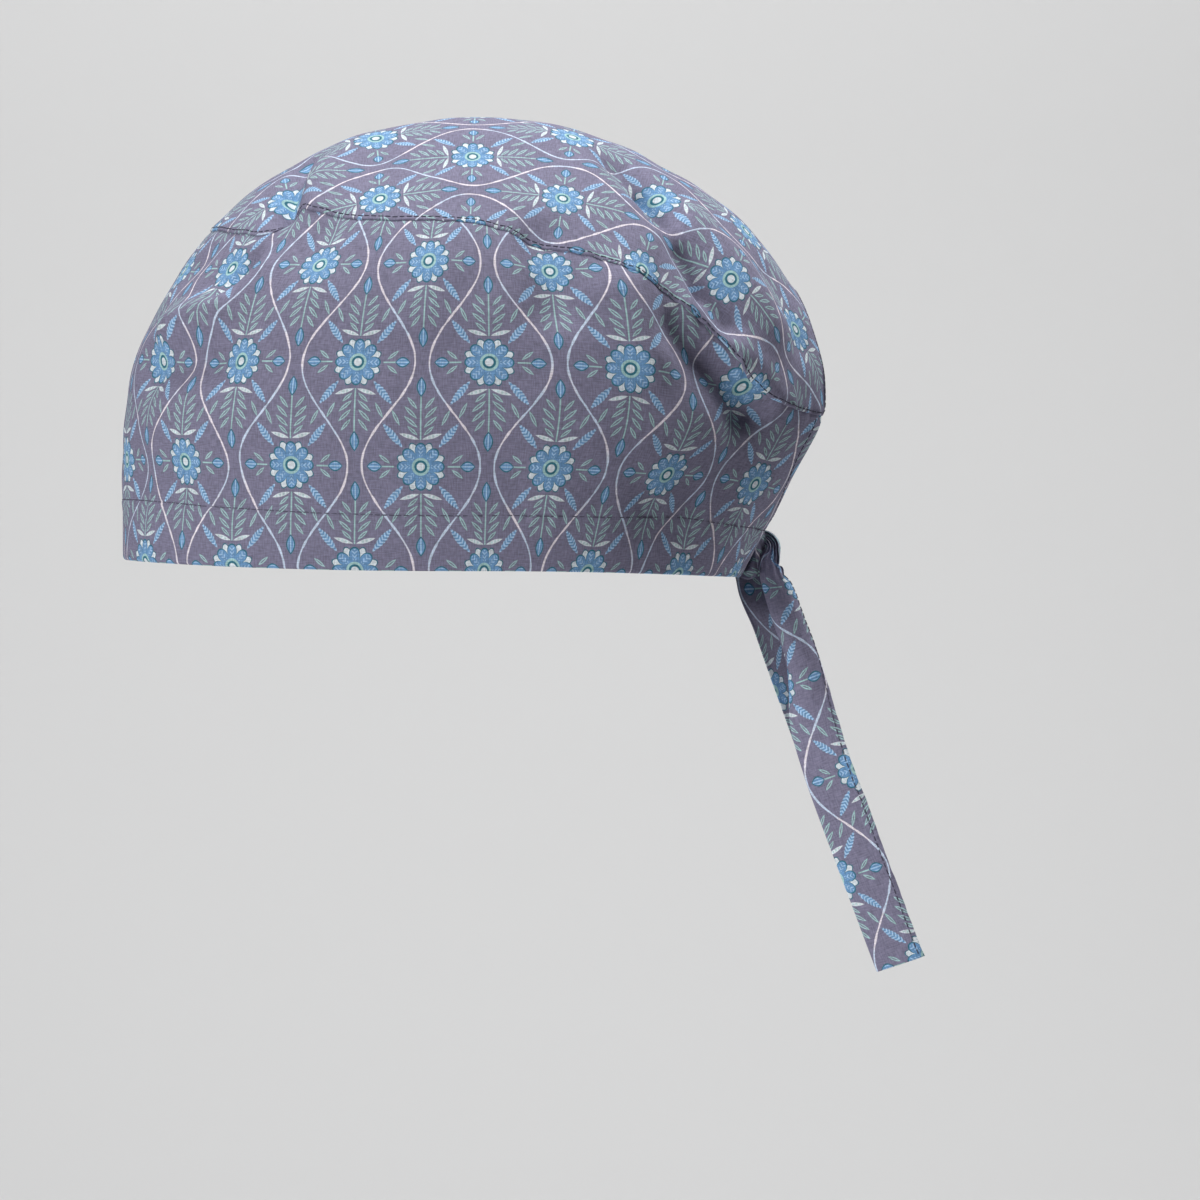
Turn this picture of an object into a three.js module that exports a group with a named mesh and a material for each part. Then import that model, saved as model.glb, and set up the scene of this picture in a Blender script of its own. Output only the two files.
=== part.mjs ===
// A tie-back scrub cap as it looks when worn: a tongue-shaped crown that runs from the forehead
// down to the back, one band wrapped round the head below it with a turned-in hem at the rim, an
// open keyhole at the back, and two ties that leave the ends of the hem, cross in a half knot and
// hang down. The cloth is hollow, and the folds that the worn cap shows are part of it.
//
// Millimetres, +Z up, the front of the head at -X and the wearer's left at -Y. The origin is the
// middle of the rim's opening, where the head goes in.
//
// Places on the cloth are given by two numbers. The turn is the angle round the head in degrees:
// 0 at the back, 90 over the left ear, 180 at the forehead, and below zero on the wearer's right.
// The rise is 0 at the rim and 1 at the top of the head, measured along the cloth.

import * as THREE from 'three';

// Driving sizes
const FRONT_REACH = 109;          // from the line under the top to the forehead
const BACK_REACH = 111.5;         // from the same line to the back of the head
const HALF_WIDTH = 82;            // from the middle to the side of the head
const CAP_HEIGHT = 139.8;         // from the rim's level over the ears to the top
const TOP_SHIFT = 8;              // how far the top lies behind the middle of the rim
const PLAN_SQUARENESS = 2.2;      // 2 is an ellipse seen from above, more is squarer
const CLOTH = 1.2;                // one layer with its seam allowances
const HEM_DEPTH = 16.5;           // the turned-in hem at the rim
const HEM_CLOTH = 2.3;            // the wall where the hem doubles it
const SEAM_GAP = 0.3;             // between two pieces that are sewn together
const OPENING_HALF_WIDTH = 27;    // the keyhole at its widest
const FOLD_DEPTH = 4;             // the deepest fold
const FOLD_WIDTH = 12;            // how far a wide fold spreads to each side
const TIE_WIDTH = 16.4;           // flat width of a tie
const TIE_CLOTH = 1.6;            // its folded layers
const TIE_LENGTH = 134;           // from the knot to the tie's end
const TIE_LEAN = 21.2;            // degrees that a hanging tie leans backwards
const TIE_SPREAD = 6.2;           // from the middle to each hanging tie
const KNOT_DEPTH = 6.2;           // how far the half knot stands behind the hem's ends
const STRAND_HEIGHT = 3.6;        // a tie bunched in the knot
const STRAND_DEPTH = 2.0;

const RIGHT_ANGLE = Math.PI / 2;

// The rows of a table whose columns are named once, at its head
function namedRows(columns, rows) {
  return rows.map((row) => Object.fromEntries(columns.map((column, index) => [column, row[index]])));
}

// Turns a table with named columns into a smooth curve through its rows. The first column is the
// one that the others depend on.
function smoothTable(rows) {
  const [key, ...columns] = Object.keys(rows[0]);
  const positions = rows.map((row) => row[key]);
  const values = rows.flatMap((row) => columns.map((column) => row[column]));
  const curve = new THREE.CubicInterpolant(positions, values, columns.length);
  const low = positions[0];
  const high = positions[positions.length - 1];
  return (place) => {
    const result = curve.evaluate(THREE.MathUtils.clamp(place, low, high));
    return Object.fromEntries(columns.map((column, index) => [column, result[index]]));
  };
}

// The cap's outline up the middle of the front, the sides and the back. Reaches are shares of
// FRONT_REACH, HALF_WIDTH and BACK_REACH, heights shares of CAP_HEIGHT. The last row lies past the
// top, so that the curve runs level over it.
const outline = smoothTable(namedRows(
  ['rise', 'frontOut', 'frontUp', 'sideOut', 'sideUp', 'backOut', 'backUp'],
  [
    [0.00, 1.000, 0.021, 0.963, 0.000, 0.733, -0.019],
    [0.10, 1.000, 0.122, 0.982, 0.107, 0.810, 0.097],
    [0.20, 1.000, 0.222, 0.998, 0.215, 0.898, 0.200],
    [0.30, 0.998, 0.325, 1.000, 0.325, 0.989, 0.311],
    [0.40, 0.974, 0.443, 0.982, 0.440, 1.000, 0.415],
    [0.50, 0.914, 0.558, 0.933, 0.565, 0.951, 0.526],
    [0.60, 0.823, 0.672, 0.848, 0.683, 0.872, 0.637],
    [0.70, 0.706, 0.787, 0.701, 0.787, 0.758, 0.751],
    [0.80, 0.539, 0.887, 0.506, 0.876, 0.581, 0.862],
    [0.90, 0.311, 0.968, 0.280, 0.962, 0.325, 0.962],
    [1.00, 0.000, 1.000, 0.000, 1.000, 0.000, 1.000],
    [1.10, -0.311, 0.968, -0.280, 0.962, -0.325, 0.962],
  ],
));

// The rises of the keyhole's corners, where crown and band meet its edge, and of its arch's top
const CORNER_RISE = 0.322;
const ARCH_RISE = 0.565;

// The seam between crown and band, from the back corner to the forehead. It drops behind the ear,
// and steps at the pleat over the front corner of the crown.
const seam = smoothTable([
  { turn: 14, rise: CORNER_RISE },
  { turn: 22, rise: 0.324 },
  { turn: 30, rise: 0.334 },
  { turn: 38, rise: 0.358 },
  { turn: 43, rise: 0.395 },
  { turn: 48, rise: 0.452 },
  { turn: 54, rise: 0.503 },
  { turn: 60, rise: 0.545 },
  { turn: 68, rise: 0.582 },
  { turn: 78, rise: 0.620 },
  { turn: 88, rise: 0.650 },
  { turn: 98, rise: 0.660 },
  { turn: 112, rise: 0.667 },
  { turn: 124, rise: 0.680 },
  { turn: 130, rise: 0.677 },
  { turn: 135, rise: 0.645 },
  { turn: 144, rise: 0.650 },
  { turn: 160, rise: 0.664 },
  { turn: 180, rise: 0.668 },
]);

// The keyhole at the back. Below the corner the band's ends leave it open by these half widths, as
// shares of OPENING_HALF_WIDTH. Above the corner the crown's hem arches over it as half an ellipse.
const keyhole = smoothTable([
  { rise: 0.000, half: 0.20 },
  { rise: 0.060, half: 0.20 },
  { rise: 0.100, half: 0.27 },
  { rise: 0.130, half: 0.44 },
  { rise: 0.200, half: 0.80 },
  { rise: 0.260, half: 0.97 },
  { rise: CORNER_RISE, half: 1.00 },
]);

// Folds of the worn cloth. Each runs from one place to another and pushes the cloth outwards, or
// inwards where its depth is below zero. Depths are shares of FOLD_DEPTH, widths of FOLD_WIDTH.
const FOLDS = namedRows(
  ['name', 'fromTurn', 'fromRise', 'toTurn', 'toRise', 'depth', 'width'],
  [
    ['front corner pleat', 134, 0.69, 150, 0.80, -0.55, 0.42],
    ['pleat roll', 126, 0.71, 136, 0.79, 0.35, 0.50],
    ['temple ridge', 130, 0.60, 156, 0.50, 0.60, 0.75],
    ['temple hollow', 138, 0.455, 158, 0.42, -0.60, 0.75],
    ['temple crease', 134, 0.62, 146, 0.485, -0.40, 0.35],
    ['ear valley', 79, 0.61, 78, 0.50, -0.60, 0.65],
    ['ear bulge', 66, 0.53, 62, 0.43, 0.45, 0.80],
    ['rear hollow', 57, 0.49, 50, 0.36, -0.85, 0.75],
    ['under the rear seam', 48, 0.43, 40, 0.335, -0.75, 0.45],
    ['long crown crease', 64, 0.86, 50, 0.52, -0.60, 0.50],
    ['crown roll', 74, 0.80, 62, 0.60, 0.30, 0.80],
    ['rear crown dent', 22, 0.60, 24, 0.47, -0.30, 0.60],
  ],
);

// Rows and columns of the cloth's mesh
const CROWN_TURNS = { arch: 8, side: 21, pleat: 4, front: 7 };
const CROWN_ROWS = 9;
const BAND_ROWS = 9;
const HEM_ROWS = 2;
const COLUMN_TURNS = { pleatEnd: 128, pleatStart: 138, front: 180 };
const HEM_STEP_RISE = 0.012;
const FOLD_SMOOTHNESS = 2;
const PROBE = 0.004;

// A power that keeps the sign of its base
function signedPower(base, power) {
  return Math.sign(base) * Math.abs(base) ** power;
}

// A point of the head-shaped surface without its folds
function bodyPoint(turn, rise) {
  const angle = THREE.MathUtils.degToRad(turn);
  const along = Math.cos(angle);
  const across = Math.sin(angle);
  const row = outline(rise);
  const out = along >= 0 ? row.backOut * BACK_REACH : row.frontOut * FRONT_REACH;
  const up = along >= 0 ? row.backUp : row.frontUp;
  return new THREE.Vector3(
    TOP_SHIFT + out * signedPower(along, 2 / PLAN_SQUARENESS),
    -row.sideOut * HALF_WIDTH * signedPower(across, 2 / PLAN_SQUARENESS),
    CAP_HEIGHT * (up * along ** 2 + row.sideUp * across ** 2),
  );
}

// The folds' two ends as points, with their mirror images on the other side of the head
const foldLines = FOLDS.flatMap((fold) => [1, -1].map((side) => ({
  line: new THREE.Line3(
    bodyPoint(side * fold.fromTurn, fold.fromRise),
    bodyPoint(side * fold.toTurn, fold.toRise),
  ),
  depth: fold.depth * FOLD_DEPTH,
  width: fold.width * FOLD_WIDTH,
})));

// How far the folds push the cloth outwards at a point
function foldPush(point) {
  const nearest = new THREE.Vector3();
  return foldLines.reduce((push, fold) => {
    fold.line.closestPointToPoint(point, true, nearest);
    const reach = nearest.distanceTo(point) / fold.width;
    return push + fold.depth * Math.exp(-(reach ** FOLD_SMOOTHNESS));
  }, 0);
}

// The outward direction of the head-shaped surface
function bodyNormal(turn, rise) {
  const safeRise = Math.min(rise, 1 - 2 * PROBE);
  const step = THREE.MathUtils.radToDeg(PROBE);
  const round = bodyPoint(turn + step, safeRise).sub(bodyPoint(turn - step, safeRise));
  const upward = bodyPoint(turn, safeRise + PROBE).sub(bodyPoint(turn, safeRise - PROBE));
  return upward.cross(round).normalize();
}

// A point of the cloth, with its folds, so far inside its outer face
function clothPoint(turn, rise, inset) {
  if (rise >= 1) {
    return bodyPoint(0, 1).sub(new THREE.Vector3(0, 0, inset));
  }
  const body = bodyPoint(turn, rise);
  return body.addScaledVector(bodyNormal(turn, rise), foldPush(body) - inset);
}

// The turn at which a given distance from the middle plane is met
function turnAtSide(distance, rise) {
  const share = Math.min(distance / (outline(rise).sideOut * HALF_WIDTH), 1);
  return THREE.MathUtils.radToDeg(Math.asin(share ** (PLAN_SQUARENESS / 2)));
}

function keyholeTurn(rise) {
  return turnAtSide(keyhole(rise).half * OPENING_HALF_WIDTH, rise);
}

// Evenly spaced numbers, without the last one
function spread(from, to, count) {
  return Array.from({ length: count }, (_, index) => from + ((to - from) * index) / count);
}

// Closes a sheet of points into a wall. Both faces are lists of rows of the same length. A closed
// sheet runs round the head, and an open one has two ends. A sheet whose top row has one point
// comes together there.
function wallGeometry(outer, inner, closed) {
  const columns = outer[0].length;
  const positions = [];
  const indices = [];
  const place = (rows) => rows.map((row) => row.map((point) => positions.push(...point) / 3 - 1));
  const outside = place(outer);
  const inside = place(inner);
  const quad = (a, b, c, d) => {
    if (a !== b) indices.push(a, c, b);
    if (c !== d) indices.push(a, d, c);
  };
  const last = closed ? columns : columns - 1;
  const at = (row, column) => row[Math.min(column % columns, row.length - 1)];
  for (let column = 0; column < last; column += 1) {
    for (let row = 0; row + 1 < outside.length; row += 1) {
      quad(at(outside[row], column), at(outside[row], column + 1),
        at(outside[row + 1], column + 1), at(outside[row + 1], column));
      quad(at(inside[row], column + 1), at(inside[row], column),
        at(inside[row + 1], column), at(inside[row + 1], column + 1));
    }
    quad(at(inside[0], column), at(inside[0], column + 1),
      at(outside[0], column + 1), at(outside[0], column));
    if (outside.at(-1).length > 1) {
      quad(at(outside.at(-1), column), at(outside.at(-1), column + 1),
        at(inside.at(-1), column + 1), at(inside.at(-1), column));
    }
  }
  if (!closed) {
    for (let row = 0; row + 1 < outside.length; row += 1) {
      quad(inside[row][0], outside[row][0], outside[row + 1][0], inside[row + 1][0]);
      quad(outside[row].at(-1), inside[row].at(-1), inside[row + 1].at(-1), outside[row + 1].at(-1));
    }
  }
  const geometry = new THREE.BufferGeometry();
  geometry.setAttribute('position', new THREE.Float32BufferAttribute(positions, 3));
  geometry.setIndex(indices);
  geometry.computeVertexNormals();
  return geometry;
}

// Columns from the keyhole's corner to the forehead, closest at the pleat
function sideTurns() {
  const { pleatEnd, pleatStart, front } = COLUMN_TURNS;
  return [
    ...spread(keyholeTurn(CORNER_RISE), pleatEnd, CROWN_TURNS.side),
    ...spread(pleatEnd, pleatStart, CROWN_TURNS.pleat),
    ...spread(pleatStart, front, CROWN_TURNS.front),
    front,
  ];
}

// The crown's lower edge on the left half: down the keyhole's arch from its middle to the corner,
// and then along the seam to the forehead. A column fans out from its turn at the edge to its turn
// near the top.
function crownEdge() {
  const arch = spread(0, 1, CROWN_TURNS.arch).map((share) => {
    const angle = share * RIGHT_ANGLE;
    const rise = CORNER_RISE + (ARCH_RISE - CORNER_RISE) * Math.cos(angle);
    const turn = turnAtSide(OPENING_HALF_WIDTH * Math.sin(angle), rise);
    return { turn, rise, fanTurn: share * keyholeTurn(CORNER_RISE) };
  });
  const sides = sideTurns().map((turn) => ({ turn, rise: seam(turn).rise, fanTurn: turn }));
  return [...arch, ...sides];
}

function crownGeometry() {
  const left = crownEdge();
  const right = left.slice(1, -1).reverse()
    .map(({ turn, rise, fanTurn }) => ({ turn: -turn, rise, fanTurn: -fanTurn }));
  const edge = [...left, ...right];
  const gapRise = SEAM_GAP / CAP_HEIGHT;
  const face = (inset) => Array.from({ length: CROWN_ROWS + 1 }, (_, row) => {
    if (row === CROWN_ROWS) return [clothPoint(0, 1, inset)];
    const share = row / CROWN_ROWS;
    return edge.map(({ turn, rise, fanTurn }) => clothPoint(
      THREE.MathUtils.lerp(turn, fanTurn, share),
      THREE.MathUtils.lerp(rise + gapRise, 1, share),
      inset,
    ));
  });
  return wallGeometry(face(0), face(CLOTH), true);
}

// The band, from its end left of the keyhole round the forehead to its end on the right. Its
// columns are shares of the way from the forehead to the keyhole.
function bandGeometry() {
  const turns = sideTurns();
  const shares = turns.map((turn) => (180 - turn) / (180 - turns[0]));
  const columns = [...shares, ...shares.slice(0, -1).reverse().map((share) => -share)];
  const hemRise = HEM_DEPTH / CAP_HEIGHT;
  const hem = spread(0, 1, HEM_ROWS).map((share) => ({
    rise: () => hemRise * share,
    inset: HEM_CLOTH,
  }));
  const wallStart = hemRise + HEM_STEP_RISE;
  const wall = spread(0, 1, BAND_ROWS).map((share) => ({
    rise: (top) => THREE.MathUtils.lerp(wallStart, top, share * BAND_ROWS / (BAND_ROWS - 1)),
    inset: CLOTH,
  }));
  const rows = [...hem, { rise: () => hemRise, inset: HEM_CLOTH }, ...wall];
  const face = (inside) => rows.map(({ rise, inset }) => columns.map((column) => {
    const endTurn = keyholeTurn(rise(CORNER_RISE));
    const turn = 180 - (180 - endTurn) * Math.abs(column);
    const top = seam(turn).rise - SEAM_GAP / CAP_HEIGHT;
    return clothPoint(Math.sign(column || 1) * turn, rise(top), inside ? inset : 0);
  }));
  return wallGeometry(face(false), face(true), false);
}

// The course that both ties follow. It starts midway between the hem's ends, runs back through the
// knot and turns down. Each tie lies on its own side of it: the swing is the angle round the course
// in degrees, so that half a turn makes the half knot. Distances are shares of KNOT_DEPTH, and then
// of TIE_LENGTH. The lean is in degrees from level, and then a share of TIE_LEAN from upright. The
// distance from the course is a share of the hem's half gap, of STRAND_HEIGHT and of TIE_SPREAD
// together. Heights and depths of the section are shares of STRAND_HEIGHT and STRAND_DEPTH in the
// knot, and of TIE_WIDTH and TIE_CLOTH below it.
const KNOT_COURSE = [
  { along: 0.00, lean: -12, swing: 180, hemGap: 1.0, strand: 0.00, height: 2.40, depth: 0.55 },
  { along: 0.10, lean: -10, swing: 178, hemGap: 0.8, strand: 0.00, height: 2.10, depth: 0.62 },
  { along: 0.38, lean: 0, swing: 150, hemGap: 0.3, strand: 0.36, height: 1.35, depth: 0.85 },
  { along: 0.70, lean: 40, swing: 95, hemGap: 0.0, strand: 0.57, height: 1.00, depth: 1.00 },
  { along: 1.00, lean: 70, swing: 40, hemGap: 0.0, strand: 0.66, height: 1.05, depth: 0.95 },
  { along: 1.30, lean: 88, swing: 8, hemGap: 0.0, strand: 0.84, height: 1.20, depth: 0.75 },
];
const TAIL_COURSE = [
  { along: 0.03, lean: -0.35, spread: 0.78, height: 0.46, depth: 1.60 },
  { along: 0.08, lean: 0.30, spread: 0.85, height: 0.52, depth: 1.45 },
  { along: 0.15, lean: 0.90, spread: 0.92, height: 0.58, depth: 1.35 },
  { along: 0.24, lean: 1.03, spread: 0.98, height: 0.66, depth: 1.25 },
  { along: 0.34, lean: 1.00, spread: 1.00, height: 0.84, depth: 1.10 },
  { along: 0.44, lean: 0.98, spread: 1.00, height: 1.00, depth: 1.00 },
  { along: 0.62, lean: 0.99, spread: 1.00, height: 1.00, depth: 1.00 },
  { along: 0.82, lean: 1.00, spread: 0.98, height: 1.00, depth: 1.00 },
  { along: 0.98, lean: 1.00, spread: 0.97, height: 1.00, depth: 1.00 },
  { along: 1.00, lean: 1.00, spread: 0.97, height: 0.90, depth: 1.00 },
];
const TIE_SIDES = 12;
const TIE_STEPS = 34;
const KNOT_ROUNDNESS = 2;
const TAIL_SQUARENESS = 5;

// One row for each station of a tie, with lengths in millimetres and angles in radians
function tieStations(hemGap) {
  const knotEnd = KNOT_COURSE.at(-1).along * KNOT_DEPTH;
  const knot = KNOT_COURSE.map((row) => ({
    distance: row.along * KNOT_DEPTH,
    heading: THREE.MathUtils.degToRad(row.lean),
    swing: THREE.MathUtils.degToRad(row.swing),
    offset: row.hemGap * hemGap + row.strand * STRAND_HEIGHT,
    height: row.height * STRAND_HEIGHT,
    depth: row.depth * STRAND_DEPTH,
    squareness: KNOT_ROUNDNESS,
  }));
  const tail = TAIL_COURSE.map((row) => ({
    distance: knotEnd + row.along * TIE_LENGTH,
    heading: RIGHT_ANGLE - THREE.MathUtils.degToRad(row.lean * TIE_LEAN),
    swing: 0,
    offset: row.spread * TIE_SPREAD,
    height: row.height * TIE_WIDTH,
    depth: row.depth * TIE_CLOTH,
    squareness: TAIL_SQUARENESS,
  }));
  return smoothTable([...knot, ...tail]);
}

// A tie that starts at one end of the hem and hangs on the other side, which is 1 for the wearer's
// left and -1 for the right
function tieGeometry(side) {
  const startRise = HEM_DEPTH / CAP_HEIGHT / 2;
  const hemEnd = clothPoint(keyholeTurn(startRise), startRise, HEM_CLOTH / 2);
  const station = tieStations(-hemEnd.y - SEAM_GAP);
  const length = KNOT_COURSE.at(-1).along * KNOT_DEPTH + TIE_LENGTH;
  const sections = [];
  const course = new THREE.Vector3(hemEnd.x, 0, hemEnd.z);
  for (let step = 0; step <= TIE_STEPS; step += 1) {
    const distance = length * (step / TIE_STEPS) ** 2;
    const row = station(distance);
    if (step > 0) {
      const stride = distance - sections.at(-1).distance;
      const heading = station(distance - stride / 2).heading;
      course.add(new THREE.Vector3(Math.cos(heading), 0, -Math.sin(heading)).multiplyScalar(stride));
    }
    const upward = new THREE.Vector3(Math.sin(row.heading), 0, Math.cos(row.heading));
    const sideways = new THREE.Vector3(0, side, 0);
    const middle = course.clone()
      .addScaledVector(sideways, row.offset * Math.cos(row.swing) * -1)
      .addScaledVector(upward, row.offset * Math.sin(row.swing) * side);
    sections.push({ ...row, distance, middle, upward });
  }
  return loftGeometry(sections);
}

// Skins a row of sections, each with its middle, its upward direction, height, depth and squareness
function loftGeometry(sections) {
  const positions = [];
  const indices = [];
  sections.forEach((section, index) => {
    const before = sections[Math.max(index - 1, 0)].middle;
    const after = sections[Math.min(index + 1, sections.length - 1)].middle;
    const forward = index === 0 ? new THREE.Vector3(0, Math.sign(after.y - before.y), 0)
      : after.clone().sub(before).normalize();
    const depthways = section.upward.clone().cross(forward).normalize();
    const upward = forward.clone().cross(depthways);
    for (let corner = 0; corner < TIE_SIDES; corner += 1) {
      const angle = (2 * Math.PI * corner) / TIE_SIDES;
      const power = 2 / section.squareness;
      const point = section.middle.clone()
        .addScaledVector(upward, (section.height / 2) * signedPower(Math.cos(angle), power))
        .addScaledVector(depthways, (section.depth / 2) * signedPower(Math.sin(angle), power));
      positions.push(...point);
    }
  });
  for (let ring = 0; ring + 1 < sections.length; ring += 1) {
    for (let corner = 0; corner < TIE_SIDES; corner += 1) {
      const a = ring * TIE_SIDES + corner;
      const b = ring * TIE_SIDES + ((corner + 1) % TIE_SIDES);
      indices.push(a, b + TIE_SIDES, b, a, a + TIE_SIDES, b + TIE_SIDES);
    }
  }
  const lastRing = (sections.length - 1) * TIE_SIDES;
  for (let corner = 1; corner + 1 < TIE_SIDES; corner += 1) {
    indices.push(0, corner, corner + 1);
    indices.push(lastRing, lastRing + corner + 1, lastRing + corner);
  }
  const geometry = new THREE.BufferGeometry();
  geometry.setAttribute('position', new THREE.Float32BufferAttribute(positions, 3));
  geometry.setIndex(indices);
  geometry.computeVertexNormals();
  return geometry;
}

// A printed cotton piece
function clothPiece(name, geometry, colour) {
  const material = new THREE.MeshStandardMaterial({ color: colour, roughness: 0.85, metalness: 0 });
  const piece = new THREE.Mesh(geometry, material);
  piece.name = name;
  return piece;
}

const scrubCap = new THREE.Group();
scrubCap.add(clothPiece('crown', crownGeometry(), 0x8fa3ad));
scrubCap.add(clothPiece('side_band', bandGeometry(), 0x7f939c));
scrubCap.add(clothPiece('tie_left', tieGeometry(1), 0x74878f));
scrubCap.add(clothPiece('tie_right', tieGeometry(-1), 0x6c7f88));

export default scrubCap;
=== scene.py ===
"""Looks of a tie-back scrub cap in printed cotton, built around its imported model.

Lengths are in metres, the front of the head is at -X, the wearer's left at -Y, and +Z is up. A place
on the cloth is a turn and a rise: the turn is the angle round the head in degrees, 0 at the back, 90
over the left ear and 180 at the forehead, and the rise is 0 at the rim and 1 at the top of the head.
"""

import logging
import math
from dataclasses import dataclass, field
from enum import Enum

import bmesh
import bpy
import numpy as np
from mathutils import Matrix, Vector


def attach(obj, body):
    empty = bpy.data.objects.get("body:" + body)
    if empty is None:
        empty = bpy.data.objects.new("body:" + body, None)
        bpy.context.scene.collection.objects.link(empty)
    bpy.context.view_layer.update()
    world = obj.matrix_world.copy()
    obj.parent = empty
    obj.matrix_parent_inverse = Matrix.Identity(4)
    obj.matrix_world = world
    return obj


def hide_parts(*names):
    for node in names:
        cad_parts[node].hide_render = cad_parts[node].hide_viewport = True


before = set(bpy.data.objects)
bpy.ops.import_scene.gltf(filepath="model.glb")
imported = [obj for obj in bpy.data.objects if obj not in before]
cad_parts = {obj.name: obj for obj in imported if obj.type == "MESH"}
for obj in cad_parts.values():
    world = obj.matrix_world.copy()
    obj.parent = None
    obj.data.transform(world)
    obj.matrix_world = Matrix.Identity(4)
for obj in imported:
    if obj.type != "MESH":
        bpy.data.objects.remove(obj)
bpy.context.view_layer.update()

LOG = logging.getLogger("scrub_cap")
MM = 0.001
UV_NAME = "Cloth"
THREAD_LIFT = 0.05 * MM
POLE_GAP = 1e-6

Colour = tuple[float, float, float]
Place = tuple[float, float, float]


class SmoothTable:
    """A table with named columns, read as smooth curves through its rows."""

    def __init__(self, columns: tuple[str, ...], rows: list[tuple[float, ...]]) -> None:
        """Take the rows.

        Args:
            columns: the columns' names, the first of them the one that the others depend on.
            rows: one tuple of numbers for each row, in order of the first column.
        """
        self.columns = columns
        self.values = np.array(rows, dtype=float)

    def read(self, column: str, places: np.ndarray | float) -> np.ndarray:
        """Read one column at many places.

        Args:
            column: the column's name.
            places: values of the first column.

        Returns:
            The column's values there.
        """
        x = self.values[:, 0]
        y = self.values[:, self.columns.index(column)]
        place = np.clip(places, x[0], x[-1])
        row = np.clip(np.searchsorted(x, place, side="right") - 1, 0, len(x) - 2)
        step = np.diff(x)
        rate = np.diff(y) / step
        slope = np.concatenate(([rate[0]], (rate[1:] * step[:-1] + rate[:-1] * step[1:])
                                / (step[1:] + step[:-1]), [rate[-1]]))
        share = (place - x[row]) / step[row]
        square, cube = share**2, share**3
        return ((2 * cube - 3 * square + 1) * y[row]
                + (cube - 2 * square + share) * step[row] * slope[row]
                + (3 * square - 2 * cube) * y[row + 1]
                + (cube - square) * step[row] * slope[row + 1])


# The cap's outline up the front, the sides and the back, as shares of its reaches and its height
OUTLINE = SmoothTable(
    ("rise", "front_out", "front_up", "side_out", "side_up", "back_out", "back_up"),
    [
        (0.00, 1.000, 0.021, 0.963, 0.000, 0.733, -0.019),
        (0.10, 1.000, 0.122, 0.982, 0.107, 0.810, 0.097),
        (0.20, 1.000, 0.222, 0.998, 0.215, 0.898, 0.200),
        (0.30, 0.998, 0.325, 1.000, 0.325, 0.989, 0.311),
        (0.40, 0.974, 0.443, 0.982, 0.440, 1.000, 0.415),
        (0.50, 0.914, 0.558, 0.933, 0.565, 0.951, 0.526),
        (0.60, 0.823, 0.672, 0.848, 0.683, 0.872, 0.637),
        (0.70, 0.706, 0.787, 0.701, 0.787, 0.758, 0.751),
        (0.80, 0.539, 0.887, 0.506, 0.876, 0.581, 0.862),
        (0.90, 0.311, 0.968, 0.280, 0.962, 0.325, 0.962),
        (1.00, 0.000, 1.000, 0.000, 1.000, 0.000, 1.000),
        (1.10, -0.311, 0.968, -0.280, 0.962, -0.325, 0.962),
    ],
)

# Where the seam meets the keyhole, and the top of the keyhole's arch
CORNER_RISE = 0.322
ARCH_RISE = 0.565

# The seam between the crown and the band
SEAM = SmoothTable(
    ("turn", "rise"),
    [
        (14, CORNER_RISE), (22, 0.324), (30, 0.334), (38, 0.358), (43, 0.395), (48, 0.452),
        (54, 0.503), (60, 0.545), (68, 0.582), (78, 0.620), (88, 0.650), (98, 0.660),
        (112, 0.667), (124, 0.680), (131, 0.676), (133.4, 0.648), (135.5, 0.643), (144, 0.648),
        (160, 0.660), (180, 0.665),
    ],
)

# Half of the keyhole's width below the corner, as a share of its widest
KEYHOLE = SmoothTable(
    ("rise", "half"),
    [
        (0.000, 0.20), (0.060, 0.20), (0.100, 0.27), (0.130, 0.44), (0.200, 0.80),
        (0.260, 0.97), (CORNER_RISE, 1.00),
    ],
)


class Profile(Enum):
    """How a fold's push fades to its sides."""

    SOFT = "soft"
    CREASE = "crease"


class Side(Enum):
    """The sides of the head that a fold is on."""

    LEFT = (1,)
    RIGHT = (-1,)
    BOTH = (1, -1)


@dataclass(frozen=True)
class Fold:
    """A fold that runs between two places and pushes the cloth out, or in below zero."""

    name: str
    start: tuple[float, float]
    end: tuple[float, float]
    depth: float
    width: float
    profile: Profile = Profile.SOFT
    side: Side = Side.BOTH


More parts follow.
